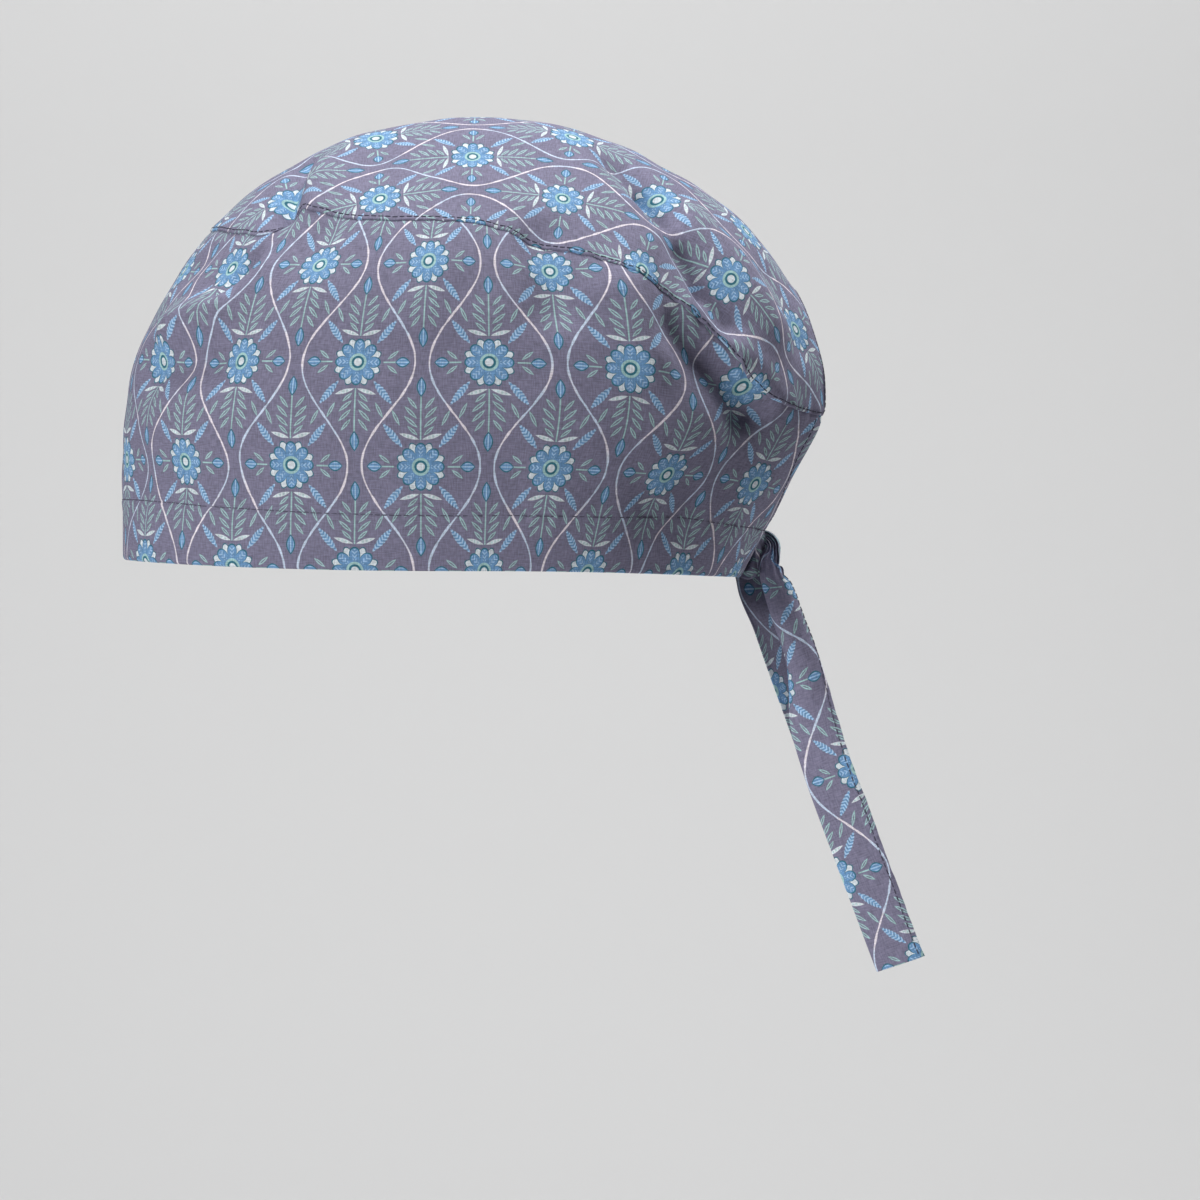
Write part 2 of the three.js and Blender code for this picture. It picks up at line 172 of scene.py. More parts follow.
# The worn cap's folds, from the forehead to the back, then those of the crown
FOLDS = (
    Fold("front corner pleat", (133, 0.685), (150, 0.80), -4.0 * MM, 4.6 * MM),
    Fold("pleat roll", (126, 0.70), (138, 0.79), 2.8 * MM, 6.0 * MM),
    Fold("pleat nip", (133, 0.675), (140, 0.735), -2.2 * MM, 2.4 * MM, Profile.CREASE),
    Fold("temple ridge", (139, 0.505), (153, 0.475), 4.2 * MM, 5.6 * MM),
    Fold("temple hollow", (136, 0.41), (154, 0.39), -4.2 * MM, 8 * MM),
    Fold("temple crease", (135, 0.60), (140, 0.52), -3.2 * MM, 3.2 * MM, Profile.CREASE),
    Fold("temple roll", (130, 0.57), (135, 0.49), 1.6 * MM, 5 * MM),
    Fold("small temple crease", (140, 0.60), (146, 0.545), -0.9 * MM, 3.0 * MM),
    Fold("front dent", (150, 0.63), (160, 0.58), -1.2 * MM, 5 * MM),
    Fold("dent under the pleat", (118, 0.645), (120, 0.61), -1.3 * MM, 5 * MM),
    Fold("brow hollow", (158, 0.18), (126, 0.18), -2.0 * MM, 9 * MM),
    Fold("ear valley", (79, 0.625), (78, 0.50), -4.0 * MM, 7.6 * MM),
    Fold("ear swell", (93, 0.61), (96, 0.48), 1.8 * MM, 11 * MM),
    Fold("ear bulge", (66, 0.53), (63, 0.43), 4.4 * MM, 8.6 * MM),
    Fold("rear seam ridge", (54, 0.50), (34, 0.35), 2.8 * MM, 6.5 * MM),
    Fold("rear hollow", (57, 0.465), (43, 0.315), -5.4 * MM, 8.4 * MM),
    Fold("under the rear seam", (51, 0.42), (39, 0.325), -2.4 * MM, 5 * MM),
    Fold("rear drape", (36, 0.30), (50, 0.10), -4.2 * MM, 15 * MM),
    Fold("upper crown crease", (46, 0.815), (49.3, 0.70), -4.2 * MM, 6.4 * MM),
    Fold("lower crown crease", (49.3, 0.62), (46, 0.49), -4.4 * MM, 6.0 * MM),
    Fold("crown crease nip", (47.5, 0.76), (49.5, 0.54), -3.2 * MM, 3.2 * MM, Profile.CREASE),
    Fold("crown roll", (58, 0.80), (60, 0.62), 1.8 * MM, 8.6 * MM),
    Fold("rear crown swell", (41, 0.69), (34, 0.50), 3.4 * MM, 8.6 * MM),
    Fold("rear crown dent", (22, 0.60), (24, 0.47), -1.4 * MM, 6 * MM),
    Fold("top ripple", (86, 0.84), (100, 0.80), -0.8 * MM, 6 * MM),
    Fold("front crown dent", (118, 0.78), (126, 0.86), -1.2 * MM, 7 * MM),
)


def signed_power(base: np.ndarray, power: float) -> np.ndarray:
    """Raise to a power and keep the base's sign."""
    return np.sign(base) * np.abs(base) ** power


def blend_step(low: float, high: float, value: np.ndarray) -> np.ndarray:
    """Go smoothly from 0 at low to 1 at high."""
    share = np.clip((value - low) / (high - low), 0, 1)
    return share * share * (3 - 2 * share)


def bump_at(value: np.ndarray, centre: float, width: float) -> np.ndarray:
    """Make a rounded bump of height 1 round a centre."""
    return np.exp(-(((value - centre) / width) ** 2))


def ripple(place: np.ndarray, periods: tuple[float, ...], seed: int) -> np.ndarray:
    """Add sines of several periods, each with its own drift, into an uneven ripple.

    Args:
        place: distances along the cloth.
        periods: the sines' periods, in metres.
        seed: fixes the phases.

    Returns:
        Values of about -1 to 1.
    """
    rng = np.random.default_rng(seed)
    total = np.zeros_like(place)
    for period in periods:
        phase, drift = rng.uniform(0, 2 * math.pi, 2)
        wander = 0.8 * np.sin(place * 2 * math.pi / (period * 5.3) + drift)
        total += np.sin(place * 2 * math.pi / period + phase + wander)
    return total / len(periods)


def run_lengths(path: np.ndarray) -> np.ndarray:
    """Give the length along a path of points up to each of them."""
    return np.concatenate(([0], np.cumsum(np.linalg.norm(np.diff(path, axis=0), axis=-1))))


@dataclass
class HeadForm:
    """The worn cap's form: a smooth body, and the folds that push the cloth off it."""

    front_reach: float = 109 * MM
    back_reach: float = 111.5 * MM
    half_width: float = 82 * MM
    height: float = 139.8 * MM
    top_shift: float = 8 * MM
    plan_squareness: float = 2.2
    keyhole_half_width: float = 27 * MM
    probe: float = 0.004
    crease_slope: float = math.sqrt(3)
    crease_tip: float = 0.3
    pucker_height: float = 0.8 * MM
    pucker_reach: float = 6.5 * MM
    pucker_fade: float = 1.4
    pucker_periods: tuple[float, ...] = (5.2 * MM, 8.3 * MM, 13.9 * MM)
    front_calm: float = 0.7
    front_calm_turns: tuple[float, float] = (50, 110)

    def body(self, turn: np.ndarray, rise: np.ndarray) -> np.ndarray:
        """Give points of the smooth body, without its folds.

        Args:
            turn: turns in degrees.
            rise: rises, of the same shape.

        Returns:
            The points, with X, Y and Z as the last axis.
        """
        angle = np.radians(turn)
        along, across = np.cos(angle), np.sin(angle)
        behind = along >= 0
        out = np.where(behind, OUTLINE.read("back_out", rise) * self.back_reach,
                       OUTLINE.read("front_out", rise) * self.front_reach)
        up = np.where(behind, OUTLINE.read("back_up", rise), OUTLINE.read("front_up", rise))
        side = OUTLINE.read("side_out", rise) * self.half_width
        power = 2 / self.plan_squareness
        x = self.top_shift + out * signed_power(along, power)
        y = -side * signed_power(across, power)
        z = self.height * (up * along**2 + OUTLINE.read("side_up", rise) * across**2)
        return np.stack((x, y, z), axis=-1)

    def normal(self, turn: np.ndarray, rise: np.ndarray) -> np.ndarray:
        """Give the body's outward directions at turns and rises of the same shape.

        Args:
            turn: degrees round the head from the forehead.
            rise: shares of the way from the rim to the top.

        Returns:
            One unit vector for each point.
        """
        safe = np.minimum(rise, 1 - 2 * self.probe)
        step = math.degrees(self.probe)
        round_head = self.body(turn + step, safe) - self.body(turn - step, safe)
        upward = self.body(turn, safe + self.probe) - self.body(turn, safe - self.probe)
        outward = np.cross(upward, round_head)
        return outward / np.linalg.norm(outward, axis=-1, keepdims=True)

    def fold_push(self, points: np.ndarray) -> np.ndarray:
        """Give how far the folds push the cloth outwards at points of the body.

        Args:
            points: points of the body.

        Returns:
            One outward distance for each point.
        """
        push = np.zeros(points.shape[:-1])
        for fold in FOLDS:
            for sign in fold.side.value:
                start = self.body(np.array(sign * fold.start[0]), np.array(fold.start[1]))
                end = self.body(np.array(sign * fold.end[0]), np.array(fold.end[1]))
                line = end - start
                share = np.clip(((points - start) @ line) / (line @ line), 0, 1)
                reach = np.linalg.norm(points - start - share[..., None] * line, axis=-1)
                scaled = reach / fold.width
                if fold.profile is Profile.SOFT:
                    push += fold.depth * np.exp(-(scaled**2))
                else:
                    ridge = np.hypot(scaled * self.crease_slope, self.crease_tip)
                    push += fold.depth * np.exp(self.crease_tip - ridge)
        return push

    def pucker(self, turn: np.ndarray, distance: np.ndarray) -> np.ndarray:
        """Give the puckers that the seam's stitches draw into the cloth on both sides of it.

        Args:
            turn: turns in degrees.
            distance: distances from the seam.

        Returns:
            Outward pushes in metres, stronger towards the back.
        """
        turns = np.linspace(0, 180, 721)
        length = run_lengths(self.body(turns, SEAM.read("rise", turns)))
        along = np.interp(np.abs(turn), turns, length) * np.sign(turn)
        waves = ripple(along, self.pucker_periods, seed=11)
        rear = 1 - self.front_calm * blend_step(*self.front_calm_turns, np.abs(turn))
        fade = np.exp(-((distance / self.pucker_reach) ** self.pucker_fade))
        return self.pucker_height * rear * waves * fade

    def turn_at_side(self, distance: np.ndarray, rise: np.ndarray) -> np.ndarray:
        """Give the turn at which the body is at a distance from the middle plane."""
        share = np.minimum(distance / (OUTLINE.read("side_out", rise) * self.half_width), 1)
        return np.degrees(np.arcsin(share ** (self.plan_squareness / 2)))

    def keyhole_turn(self, rise: np.ndarray) -> np.ndarray:
        """Give the turn at which the band's end stands at a rise."""
        return self.turn_at_side(KEYHOLE.read("half", rise) * self.keyhole_half_width, rise)

    def meridian(self, turn: np.ndarray, rise: np.ndarray) -> np.ndarray:
        """Give lengths along the cloth from the rim up to each rise.

        Args:
            turn: degrees round the head from the forehead.
            rise: shares of the way from the rim to the top.

        Returns:
            One length for each pair of a turn and a rise.
        """
        steps = np.linspace(0, 1, 41)
        shape = np.broadcast(turn, rise).shape
        turns = np.broadcast_to(turn, shape)
        rises = np.broadcast_to(rise, shape)
        path = self.body(turns[..., None] + 0 * steps, rises[..., None] * steps)
        return np.linalg.norm(np.diff(path, axis=-2), axis=-1).sum(-1)


@dataclass
class Wall:
    """A closed cloth wall between an outer and an inner grid of points."""

    outer: np.ndarray
    inner: np.ndarray
    flat: np.ndarray
    closed: bool

    def mesh(self, name: str) -> bpy.types.Mesh:
        """Skin both faces and the edges between them.

        Args:
            name: the mesh's name.

        Returns:
            The mesh, with the flat cloth's places as a UV map in metres.
        """
        rows, columns = self.outer.shape[:2]
        grid = np.arange(rows * columns).reshape(rows, columns)
        if self.closed:
            grid = np.concatenate((grid, grid[:, :1]), axis=1)
        back = grid + rows * columns
        a, b, c, d = grid[:-1, :-1], grid[:-1, 1:], grid[1:, 1:], grid[1:, :-1]
        quads = [np.stack((a, d, c, b), -1).reshape(-1, 4)]
        a, b, c, d = back[:-1, :-1], back[:-1, 1:], back[1:, 1:], back[1:, :-1]
        quads.append(np.stack((a, b, c, d), -1).reshape(-1, 4))
        quads.append(np.stack((back[0, :-1], grid[0, :-1], grid[0, 1:], back[0, 1:]), -1))
        quads.append(np.stack((grid[-1, :-1], back[-1, :-1], back[-1, 1:], grid[-1, 1:]), -1))
        if not self.closed:
            quads.append(np.stack((grid[:-1, 0], back[:-1, 0], back[1:, 0], grid[1:, 0]), -1))
            quads.append(np.stack((back[:-1, -1], grid[:-1, -1], grid[1:, -1], back[1:, -1]), -1))
        faces = np.concatenate(quads)
        points = np.concatenate((self.outer.reshape(-1, 3), self.inner.reshape(-1, 3)))
        places = np.concatenate((self.flat.reshape(-1, 2), self.flat.reshape(-1, 2)))
        mesh = bpy.data.meshes.new(name)
        mesh.vertices.add(len(points))
        mesh.vertices.foreach_set("co", points.ravel())
        mesh.loops.add(faces.size)
        mesh.loops.foreach_set("vertex_index", faces.ravel())
        mesh.polygons.add(len(faces))
        mesh.polygons.foreach_set("loop_start", np.arange(0, faces.size, 4))
        mesh.update(calc_edges=True)
        layer = mesh.uv_layers.new(name=UV_NAME)
        layer.data.foreach_set("uv", places[faces.ravel()].ravel())
        mesh.polygons.foreach_set("use_smooth", np.ones(len(faces), dtype=bool))
        return mesh


def add_object(name: str, mesh: bpy.types.Mesh) -> bpy.types.Object:
    """Put a mesh into the scene as an object at the origin.

    Args:
        name: the object's name.
        mesh: the object's mesh.

    Returns:
        The new object.
    """
    piece = bpy.data.objects.new(name, mesh)
    bpy.context.scene.collection.objects.link(piece)
    return piece


def close_pole(mesh: bpy.types.Mesh) -> None:
    """Merge a mesh's coincident points, so that its pole is one point.

    Args:
        mesh: the mesh, which is changed in place.
    """
    shape = bmesh.new()
    shape.from_mesh(mesh)
    bmesh.ops.remove_doubles(shape, verts=shape.verts, dist=POLE_GAP)
    shape.to_mesh(mesh)
    shape.free()


def soft_waves(points: np.ndarray, wavelength: float, seed: int, count: int = 7) -> np.ndarray:
    """Add plane waves in seeded directions into a smooth uneven field.

    Args:
        points: places, with X, Y and Z as the last axis.
        wavelength: the waves' mean length in metres.
        seed: fixes the directions and the phases.
        count: how many waves are added.

    Returns:
        Values of about -1 to 1.
    """
    rng = np.random.default_rng(seed)
    total = np.zeros(points.shape[:-1])
    for _ in range(count):
        direction = rng.normal(size=3)
        direction /= np.linalg.norm(direction)
        length = wavelength * rng.uniform(0.7, 1.4)
        total += np.sin(points @ direction * 2 * math.pi / length + rng.uniform(0, 2 * math.pi))
    return total / math.sqrt(count)


@dataclass(frozen=True)
class Slack:
    """The gentle unevenness of cloth that isn't pulled tight."""

    wavelength: float
    seed: int
    height: float = 0.4 * MM
    fine_wavelength: float = 15 * MM
    fine_height: float = 0.16 * MM

    def push(self, points: np.ndarray) -> np.ndarray:
        """Give the outward push at points of the cloth.

        Args:
            points: points of the cloth.

        Returns:
            One outward distance for each point.
        """
        broad = soft_waves(points, self.wavelength, self.seed)
        fine = soft_waves(points, self.fine_wavelength, self.seed + 1)
        return self.height * broad + self.fine_height * fine


@dataclass(frozen=True)
class SewnEdge:
    """What sewing does to the cloth beside a seam or a hem."""

    lap: float
    roll: float = 0.3 * MM
    roll_width: float = 0.3 * MM
    stitch_line: float = 1.4 * MM
    groove: float = 0.1 * MM
    groove_width: float = 0.5 * MM
    fade: float = 9 * MM

    def push(self, distance: np.ndarray) -> np.ndarray:
        """Give the outward push at distances from the edge.

        Args:
            distance: distances from the edge along the cloth.

        Returns:
            One outward distance for each of them.
        """
        rolled = -self.roll * np.exp(-distance / self.roll_width)
        lapped = self.lap * (1 - blend_step(self.stitch_line, self.fade, distance))
        grooved = -self.groove * bump_at(distance, self.stitch_line, self.groove_width)
        return rolled + lapped + grooved


def spaced(near: tuple[float, ...], total: np.ndarray, count: int) -> np.ndarray:
    """Space rows closely at an edge and evenly beyond.

    Args:
        near: distances of the close rows from the edge.
        total: the whole length of each column.
        count: how many even rows follow.

    Returns:
        Distances, one row of columns for each row.
    """
    close = np.array(near)[:, None] + 0 * total
    share = np.linspace(0, 1, count + 1)[1:, None]
    return np.concatenate((close, close[-1] + (total - close[-1]) * share))


@dataclass
class Crown:
    """The tongue-shaped panel over the top of the head."""

    form: HeadForm
    cloth: float = 1.2 * MM
    lapped_cloth: float = 0.45 * MM
    step: float = 1.25 * MM
    rows: int = 58
    near: tuple[float, ...] = tuple(d * MM for d in (
        0, 0.12, 0.3, 0.6, 0.9, 1.15, 1.4, 1.65, 2.0, 2.6, 3.5, 4.3, 4.9, 5.3, 5.8, 6.8, 8.2))
    seam_edge: SewnEdge = SewnEdge(lap=0.3 * MM)
    hem_edge: SewnEdge = SewnEdge(lap=0.25 * MM, stitch_line=5.2 * MM)
    hem_doubling: float = 1.0 * MM
    hem_blend: tuple[float, float] = (-3 * MM, 1 * MM)
    full_cloth_from: tuple[float, float] = (2.4 * MM, 6.5 * MM)
    calm_edge: float = 25 * MM
    slack: Slack = Slack(wavelength=42 * MM, seed=13)
    edge_turns: np.ndarray = field(init=False)
    edge_rises: np.ndarray = field(init=False)
    fan_turns: np.ndarray = field(init=False)
    lengths: np.ndarray = field(init=False)
    hemmed: np.ndarray = field(init=False)

    def __post_init__(self) -> None:
        """Work out the edge: over the keyhole's arch to the corner, then along the seam."""
        corner = float(self.form.keyhole_turn(np.array(CORNER_RISE)))
        angle = np.linspace(0, math.pi / 2, 300, endpoint=False)
        arch_rise = CORNER_RISE + (ARCH_RISE - CORNER_RISE) * np.cos(angle)
        arch_turn = self.form.turn_at_side(self.form.keyhole_half_width * np.sin(angle), arch_rise)
        seam_turn = np.linspace(corner, 180, 2400)
        turn = np.concatenate((arch_turn, seam_turn))
        rise = np.concatenate((arch_rise, SEAM.read("rise", seam_turn)))
        path = self.form.body(turn, rise)
        length = run_lengths(path)
        corner_length = length[len(angle)]
        count = int(length[-1] / self.step)
        even = np.linspace(0, length[-1], count + 1)
        half_turn = np.interp(even, length, turn)
        half_rise = np.interp(even, length, rise)
        half_fan = np.where(even < corner_length, corner * even / corner_length, half_turn)
        mirror = slice(-2, 0, -1)
        self.edge_turns = np.concatenate((half_turn, -half_turn[mirror]))
        self.edge_rises = np.concatenate((half_rise, half_rise[mirror]))
        self.fan_turns = np.concatenate((half_fan, -half_fan[mirror]))
        self.lengths = np.concatenate((even, 2 * length[-1] - even[mirror]))
        nearest = np.minimum(self.lengths, 2 * length[-1] - self.lengths)
        hem_start, hem_end = self.hem_blend
        self.hemmed = 1 - blend_step(corner_length + hem_start, corner_length + hem_end, nearest)

    def edge_to_top(self) -> np.ndarray:
        """Give the cloth's length from each place on the edge to the top of the head."""
        whole = self.form.meridian(self.edge_turns, 1.0 + 0 * self.edge_rises)
        return whole - self.form.meridian(self.edge_turns, self.edge_rises)

    def grid(self, distance: np.ndarray) -> tuple[np.ndarray, np.ndarray]:
        """Give turns and rises at distances from the edge.

        Args:
            distance: distances from the edge along the cloth.

        Returns:
            The turns and the rises, one row for each distance.
        """
        share = np.clip(distance / self.edge_to_top(), 0, 1)
        turn = self.edge_turns + (self.fan_turns - self.edge_turns) * share
        return turn, self.edge_rises + (1 - self.edge_rises) * share

    def place(self, turn: np.ndarray, rise: np.ndarray, distance: np.ndarray) -> np.ndarray:
        """Give points of the outer face at distances from the edge.

        Args:
            turn: degrees round the head from the forehead.
            rise: shares of the way from the rim to the top.
            distance: distances from the edge.

        Returns:
            One point for each of them.
        """
        body = self.form.body(turn, rise)
        push = self.seam_edge.push(distance) * (1 - self.hemmed)
        push += self.hem_edge.push(distance) * self.hemmed
        push += self.form.fold_push(body) + self.form.pucker(turn, distance) * (1 - self.hemmed)
        push += blend_step(0, self.calm_edge, distance) * self.slack.push(body)
        return body + self.form.normal(turn, rise) * push[..., None]

    def build(self) -> bpy.types.Object:
        """Build the panel.

        Returns:
            The object, still without a material.
        """
        distance = spaced(self.near, self.edge_to_top(), self.rows)
        turn, rise = self.grid(distance)
        outer = self.place(turn, rise, distance)
        edge = self.lapped_cloth + self.hem_doubling * self.hemmed
        thick = edge + (self.cloth - edge) * blend_step(*self.full_cloth_from, distance)
        inner = outer - self.form.normal(turn, rise) * thick[..., None]
        outer[-1] = outer[-1].mean(0)
        inner[-1] = inner[-1].mean(0)
        mesh = Wall(outer, inner, self.flatten(turn, rise), closed=True).mesh("crown_cloth")
        close_pole(mesh)
        return add_object("crown_cloth", mesh)

    def flatten(self, turn: np.ndarray, rise: np.ndarray) -> np.ndarray:
        """Lay the panel flat round its top, its length turned along the print's height.

        Args:
            turn: degrees round the head from the forehead.
            rise: shares of the way from the rim to the top.

        Returns:
            Two flat coordinates for each point.
        """
        body = self.form.body(turn, rise)
        whole = self.form.meridian(turn, 1.0 + 0 * rise)
        radius = whole - self.form.meridian(turn, rise)
        x, y = body[..., 0] - self.form.top_shift, body[..., 1]
        reach = np.maximum(np.hypot(x, y), 1e-9)
        return np.stack((radius * y / reach, radius * x / reach), axis=-1)

    def dress(self, cloth: bpy.types.Object) -> None:
        """Give the panel its printed cotton and its place in the model."""
        dress_piece(cloth, PrintedCotton("crown_cotton").make())
        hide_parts("crown")

    def stitch_path(self) -> np.ndarray:
        """Give the topstitch line's points, round the whole edge.

        Returns:
            The line's points, in order round the edge.
        """
        seam_line = self.seam_edge.stitch_line
        reach = seam_line + (self.hem_edge.stitch_line - seam_line) * self.hemmed
        turn, rise = self.grid(reach)
        points = self.place(turn, rise, reach)
        return points + self.form.normal(turn, rise) * THREAD_LIFT

    def sew(self, sewing: "Stitching", thread: bpy.types.Material) -> None:
        """Sew the topstitching round the edge."""
        stitches = sewing.sew("crown_stitches", [self.stitch_path()], True, thread)
        dress_piece(stitches, thread)


@dataclass
class SideBand:
    """The strip wrapped round the head, with its deep hem at the rim."""

    form: HeadForm
    cloth: float = 1.2 * MM
    hem_cloth: float = 2.3 * MM
    hem_depth: float = 16.5 * MM
    front_hem_extra: float = 2.2 * MM
    under_lap: float = 2.2 * MM
    step: float = 1.3 * MM
    rows: int = 44
    end_doubling: float = 0.8
    hem_stop: tuple[float, float] = (0, 0.8 * MM)
    end_stop: tuple[float, float] = (0.5 * MM, 1.2 * MM)
    reference_rise: float = 0.25
    front_hem_turns: tuple[float, float] = (95, 165)
    calm_edge: float = 12 * MM
    tuck: float = 0.32 * MM
    tuck_from: tuple[float, float] = (-0.2 * MM, 2.6 * MM)
    rim_edge: SewnEdge = SewnEdge(lap=0, roll=0.8 * MM, roll_width=0.4 * MM, groove=0)
    end_edge: SewnEdge = SewnEdge(lap=0.2 * MM, stitch_line=5.0 * MM)
    hem_step: float = 0.3 * MM
    hem_step_span: tuple[float, float] = (-0.5 * MM, 0.9 * MM)
    hem_groove: float = 0.3 * MM
    hem_groove_width: float = 0.5 * MM
    hem_crinkle: float = 0.3 * MM
    crinkle_reach: float = 3.2 * MM
    crinkle_periods: tuple[float, ...] = (4.3 * MM, 6.1 * MM, 9.7 * MM)
    hem_swell: float = 0.5 * MM
    swell_centre: float = 4 * MM
    swell_width: float = 9 * MM
    swell_periods: tuple[float, ...] = (21 * MM, 34 * MM)
    slack_rim: float = 25 * MM
    slack_seam: float = 15 * MM
    slack: Slack = Slack(wavelength=38 * MM, seed=26)
    near_end: tuple[float, ...] = tuple(d * MM for d in (
        0, 0.25, 0.6, 1.1, 1.8, 2.8, 3.8, 4.5, 5.0, 5.5, 6.2, 7.4))
    near_rim: tuple[float, ...] = tuple(d * MM for d in (
        0, 0.15, 0.4, 0.8, 1.5, 3.0, 5.5, 8.0, 10.5, 12.5, 14.0, 15.0, 15.6, 16.0, 16.3, 16.6,
        16.9, 17.3, 17.8, 18.3, 18.8, 19.4, 20.4))
    near_seam: tuple[float, ...] = tuple(d * MM for d in (
        8.0, 6.6, 5.4, 4.4, 3.6, 3.0, 2.6, 2.3, 2.1, 1.8, 1.2, 0.5, 0))
    columns: np.ndarray = field(init=False)
    lengths: np.ndarray = field(init=False)

    def __post_init__(self) -> None:
        """Work out the columns: shares of the way from the forehead to the band's end."""
        end = float(self.form.keyhole_turn(np.array(self.reference_rise)))
        turns = np.linspace(end, 180, 2000)
        path = self.form.body(turns, np.full_like(turns, self.reference_rise))
        length = run_lengths(path)
        even_count = int((length[-1] - self.near_end[-1]) / self.step)
        even = np.linspace(self.near_end[-1], length[-1], even_count + 1)[1:]
        half = np.concatenate((self.near_end, even))
        share = (180 - np.interp(half, length, turns)) / (180 - end)
        self.columns = np.concatenate((share, -share[-2::-1]))
        self.lengths = np.concatenate((half, 2 * length[-1] - half[-2::-1])) - length[-1]

    def grid(self) -> tuple[np.ndarray, np.ndarray, np.ndarray, np.ndarray]:
        """Give turns, rises, and distances from the rim and from the seam.

        Returns:
            Four arrays of one shape, a row for each distance from the rim.
        """
        top_turn = self.turn_at(CORNER_RISE)
        top_rise = SEAM.read("rise", np.abs(top_turn))
        low, high = self.rates(top_turn, top_rise)
        rim = np.array(self.near_rim)[:, None] / low
        crest = top_rise + (self.under_lap - np.array(self.near_seam)[:, None]) / high
        share = np.linspace(0, 1, self.rows + 2)[1:-1, None]
        middle = rim[-1] + (crest[0] - rim[-1]) * share
        rise = np.concatenate((rim, middle, crest))
        turn = self.turn_at(rise / top_rise * CORNER_RISE)
        seam_rise = SEAM.read("rise", np.abs(turn))
        rise = rise * seam_rise / top_rise
        return turn, rise, rise * low, (seam_rise - rise) * high

    def turn_at(self, end_rise: np.ndarray | float) -> np.ndarray:
        """Give the columns' turns on rows that meet the band's ends at a rise.

        Args:
            end_rise: the rise at the band's ends.

        Returns:
            The turns of the columns, one row for each rise.
        """
        end = self.form.keyhole_turn(np.asarray(end_rise, dtype=float))
        turn = 180 - (180 - end) * np.abs(self.columns)
        return np.where(self.columns < 0, -turn, turn)

    def rates(self, turn: np.ndarray, top: np.ndarray) -> tuple[np.ndarray, np.ndarray]:
        """Give metres of cloth for each unit of rise, at the rim and at the seam.

        Args:
            turn: degrees round the head from the forehead.
            top: rises of the seam at those turns.

        Returns:
            The rates at the rim and the rates at the seam.
        """
        probe = 0.02
        low = self.form.body(turn, probe + 0 * turn) - self.form.body(turn, 0 * turn)
        high = self.form.body(turn, top) - self.form.body(turn, top - probe)
        return np.linalg.norm(low, axis=-1) / probe, np.linalg.norm(high, axis=-1) / probe

    def place(self, turn: np.ndarray, rise: np.ndarray, rim: np.ndarray,
              seam: np.ndarray) -> np.ndarray:
        """Give points of the outer face at distances from the rim and the seam.

        Args:
            turn: degrees round the head from the forehead.
            rise: shares of the way from the rim to the top.
            rim: distances from the rim.
            seam: distances from the seam.

        Returns:
            One point for each of them.
        """
        body = self.form.body(turn, rise)
        along = np.broadcast_to(self.lengths, turn.shape)
        end = self.lengths[-1] - np.abs(along)
        push = self.form.fold_push(body) * blend_step(0, self.calm_edge, rim)
        push += self.form.pucker(turn, np.abs(seam)) * blend_step(0, self.calm_edge, end)
        push -= self.tuck * (1 - blend_step(*self.tuck_from, seam))
        push += self.rim_edge.push(rim) + self.end_edge.push(end)
        push += self.hem_push(along, rim - self.hem_line(turn))
        calm = blend_step(0, self.slack_rim, rim) * blend_step(0, self.slack_seam, seam)
        push += calm * self.slack.push(body)
        return body + self.form.normal(turn, rise) * push[..., None]

    def hem_push(self, along: np.ndarray, above: np.ndarray) -> np.ndarray:
        """Give the push of the hem's step, groove and crinkles.

        Args:
            along: lengths round the head.
            above: heights above the hem's stitch line.

        Returns:
            Outward pushes in metres.
        """
        fine = ripple(along, self.crinkle_periods, seed=24)
        broad = ripple(along, self.swell_periods, seed=25)
        push = self.hem_step * (1 - blend_step(*self.hem_step_span, above))
        push -= self.hem_groove * bump_at(above, 0, self.hem_groove_width)
        crinkled = fine * np.exp(-np.abs(above) / self.crinkle_reach) * (1 + 0.5 * broad)
        push += self.hem_crinkle * crinkled
        return push + self.hem_swell * broad * bump_at(above, self.swell_centre, self.swell_width)

    def hem_line(self, turn: np.ndarray) -> np.ndarray:
        """Give the height of the hem's stitch line, deeper at the forehead."""
        front = blend_step(*self.front_hem_turns, np.abs(turn))
        return self.hem_depth + self.front_hem_extra * front

    def build(self) -> bpy.types.Object:
        """Build the band.

        Returns:
            The object, still without a material.
        """
        turn, rise, rim, seam = self.grid()
        outer = self.place(turn, rise, rim, seam)
        end = self.lengths[-1] - np.abs(np.broadcast_to(self.lengths, turn.shape))
        stitch = rim - self.hem_line(turn)
        doubled = 1 - blend_step(*self.hem_stop, stitch)
        folded = 1 - blend_step(*self.end_stop, end - self.end_edge.stitch_line)
        doubling = np.maximum(doubled, self.end_doubling * folded)
        thick = self.cloth + (self.hem_cloth - self.cloth) * doubling
        inner = outer - self.form.normal(turn, rise) * thick[..., None]
        flat = np.stack((self.round_length(turn), self.form.meridian(turn, rise)), axis=-1)
        mesh = Wall(outer, inner, flat, closed=False).mesh("side_band_cloth")
        return add_object("side_band_cloth", mesh)

    def dress(self, cloth: bpy.types.Object) -> None:
        """Give the band its printed cotton and its place in the model."""
        dress_piece(cloth, PrintedCotton("band_cotton").make())
        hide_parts("side_band")

    def round_length(self, turn: np.ndarray) -> np.ndarray:
        """Give lengths round the head from the forehead, which place the print's columns.

        Args:
            turn: degrees round the head from the forehead.

        Returns:
            One signed length for each turn.
        """
        turns = np.linspace(0, 180, 1441)
        length = run_lengths(self.form.body(turns, np.full_like(turns, self.reference_rise)))
        return (np.interp(np.abs(turn), turns, length) - length[-1]) * np.sign(turn)

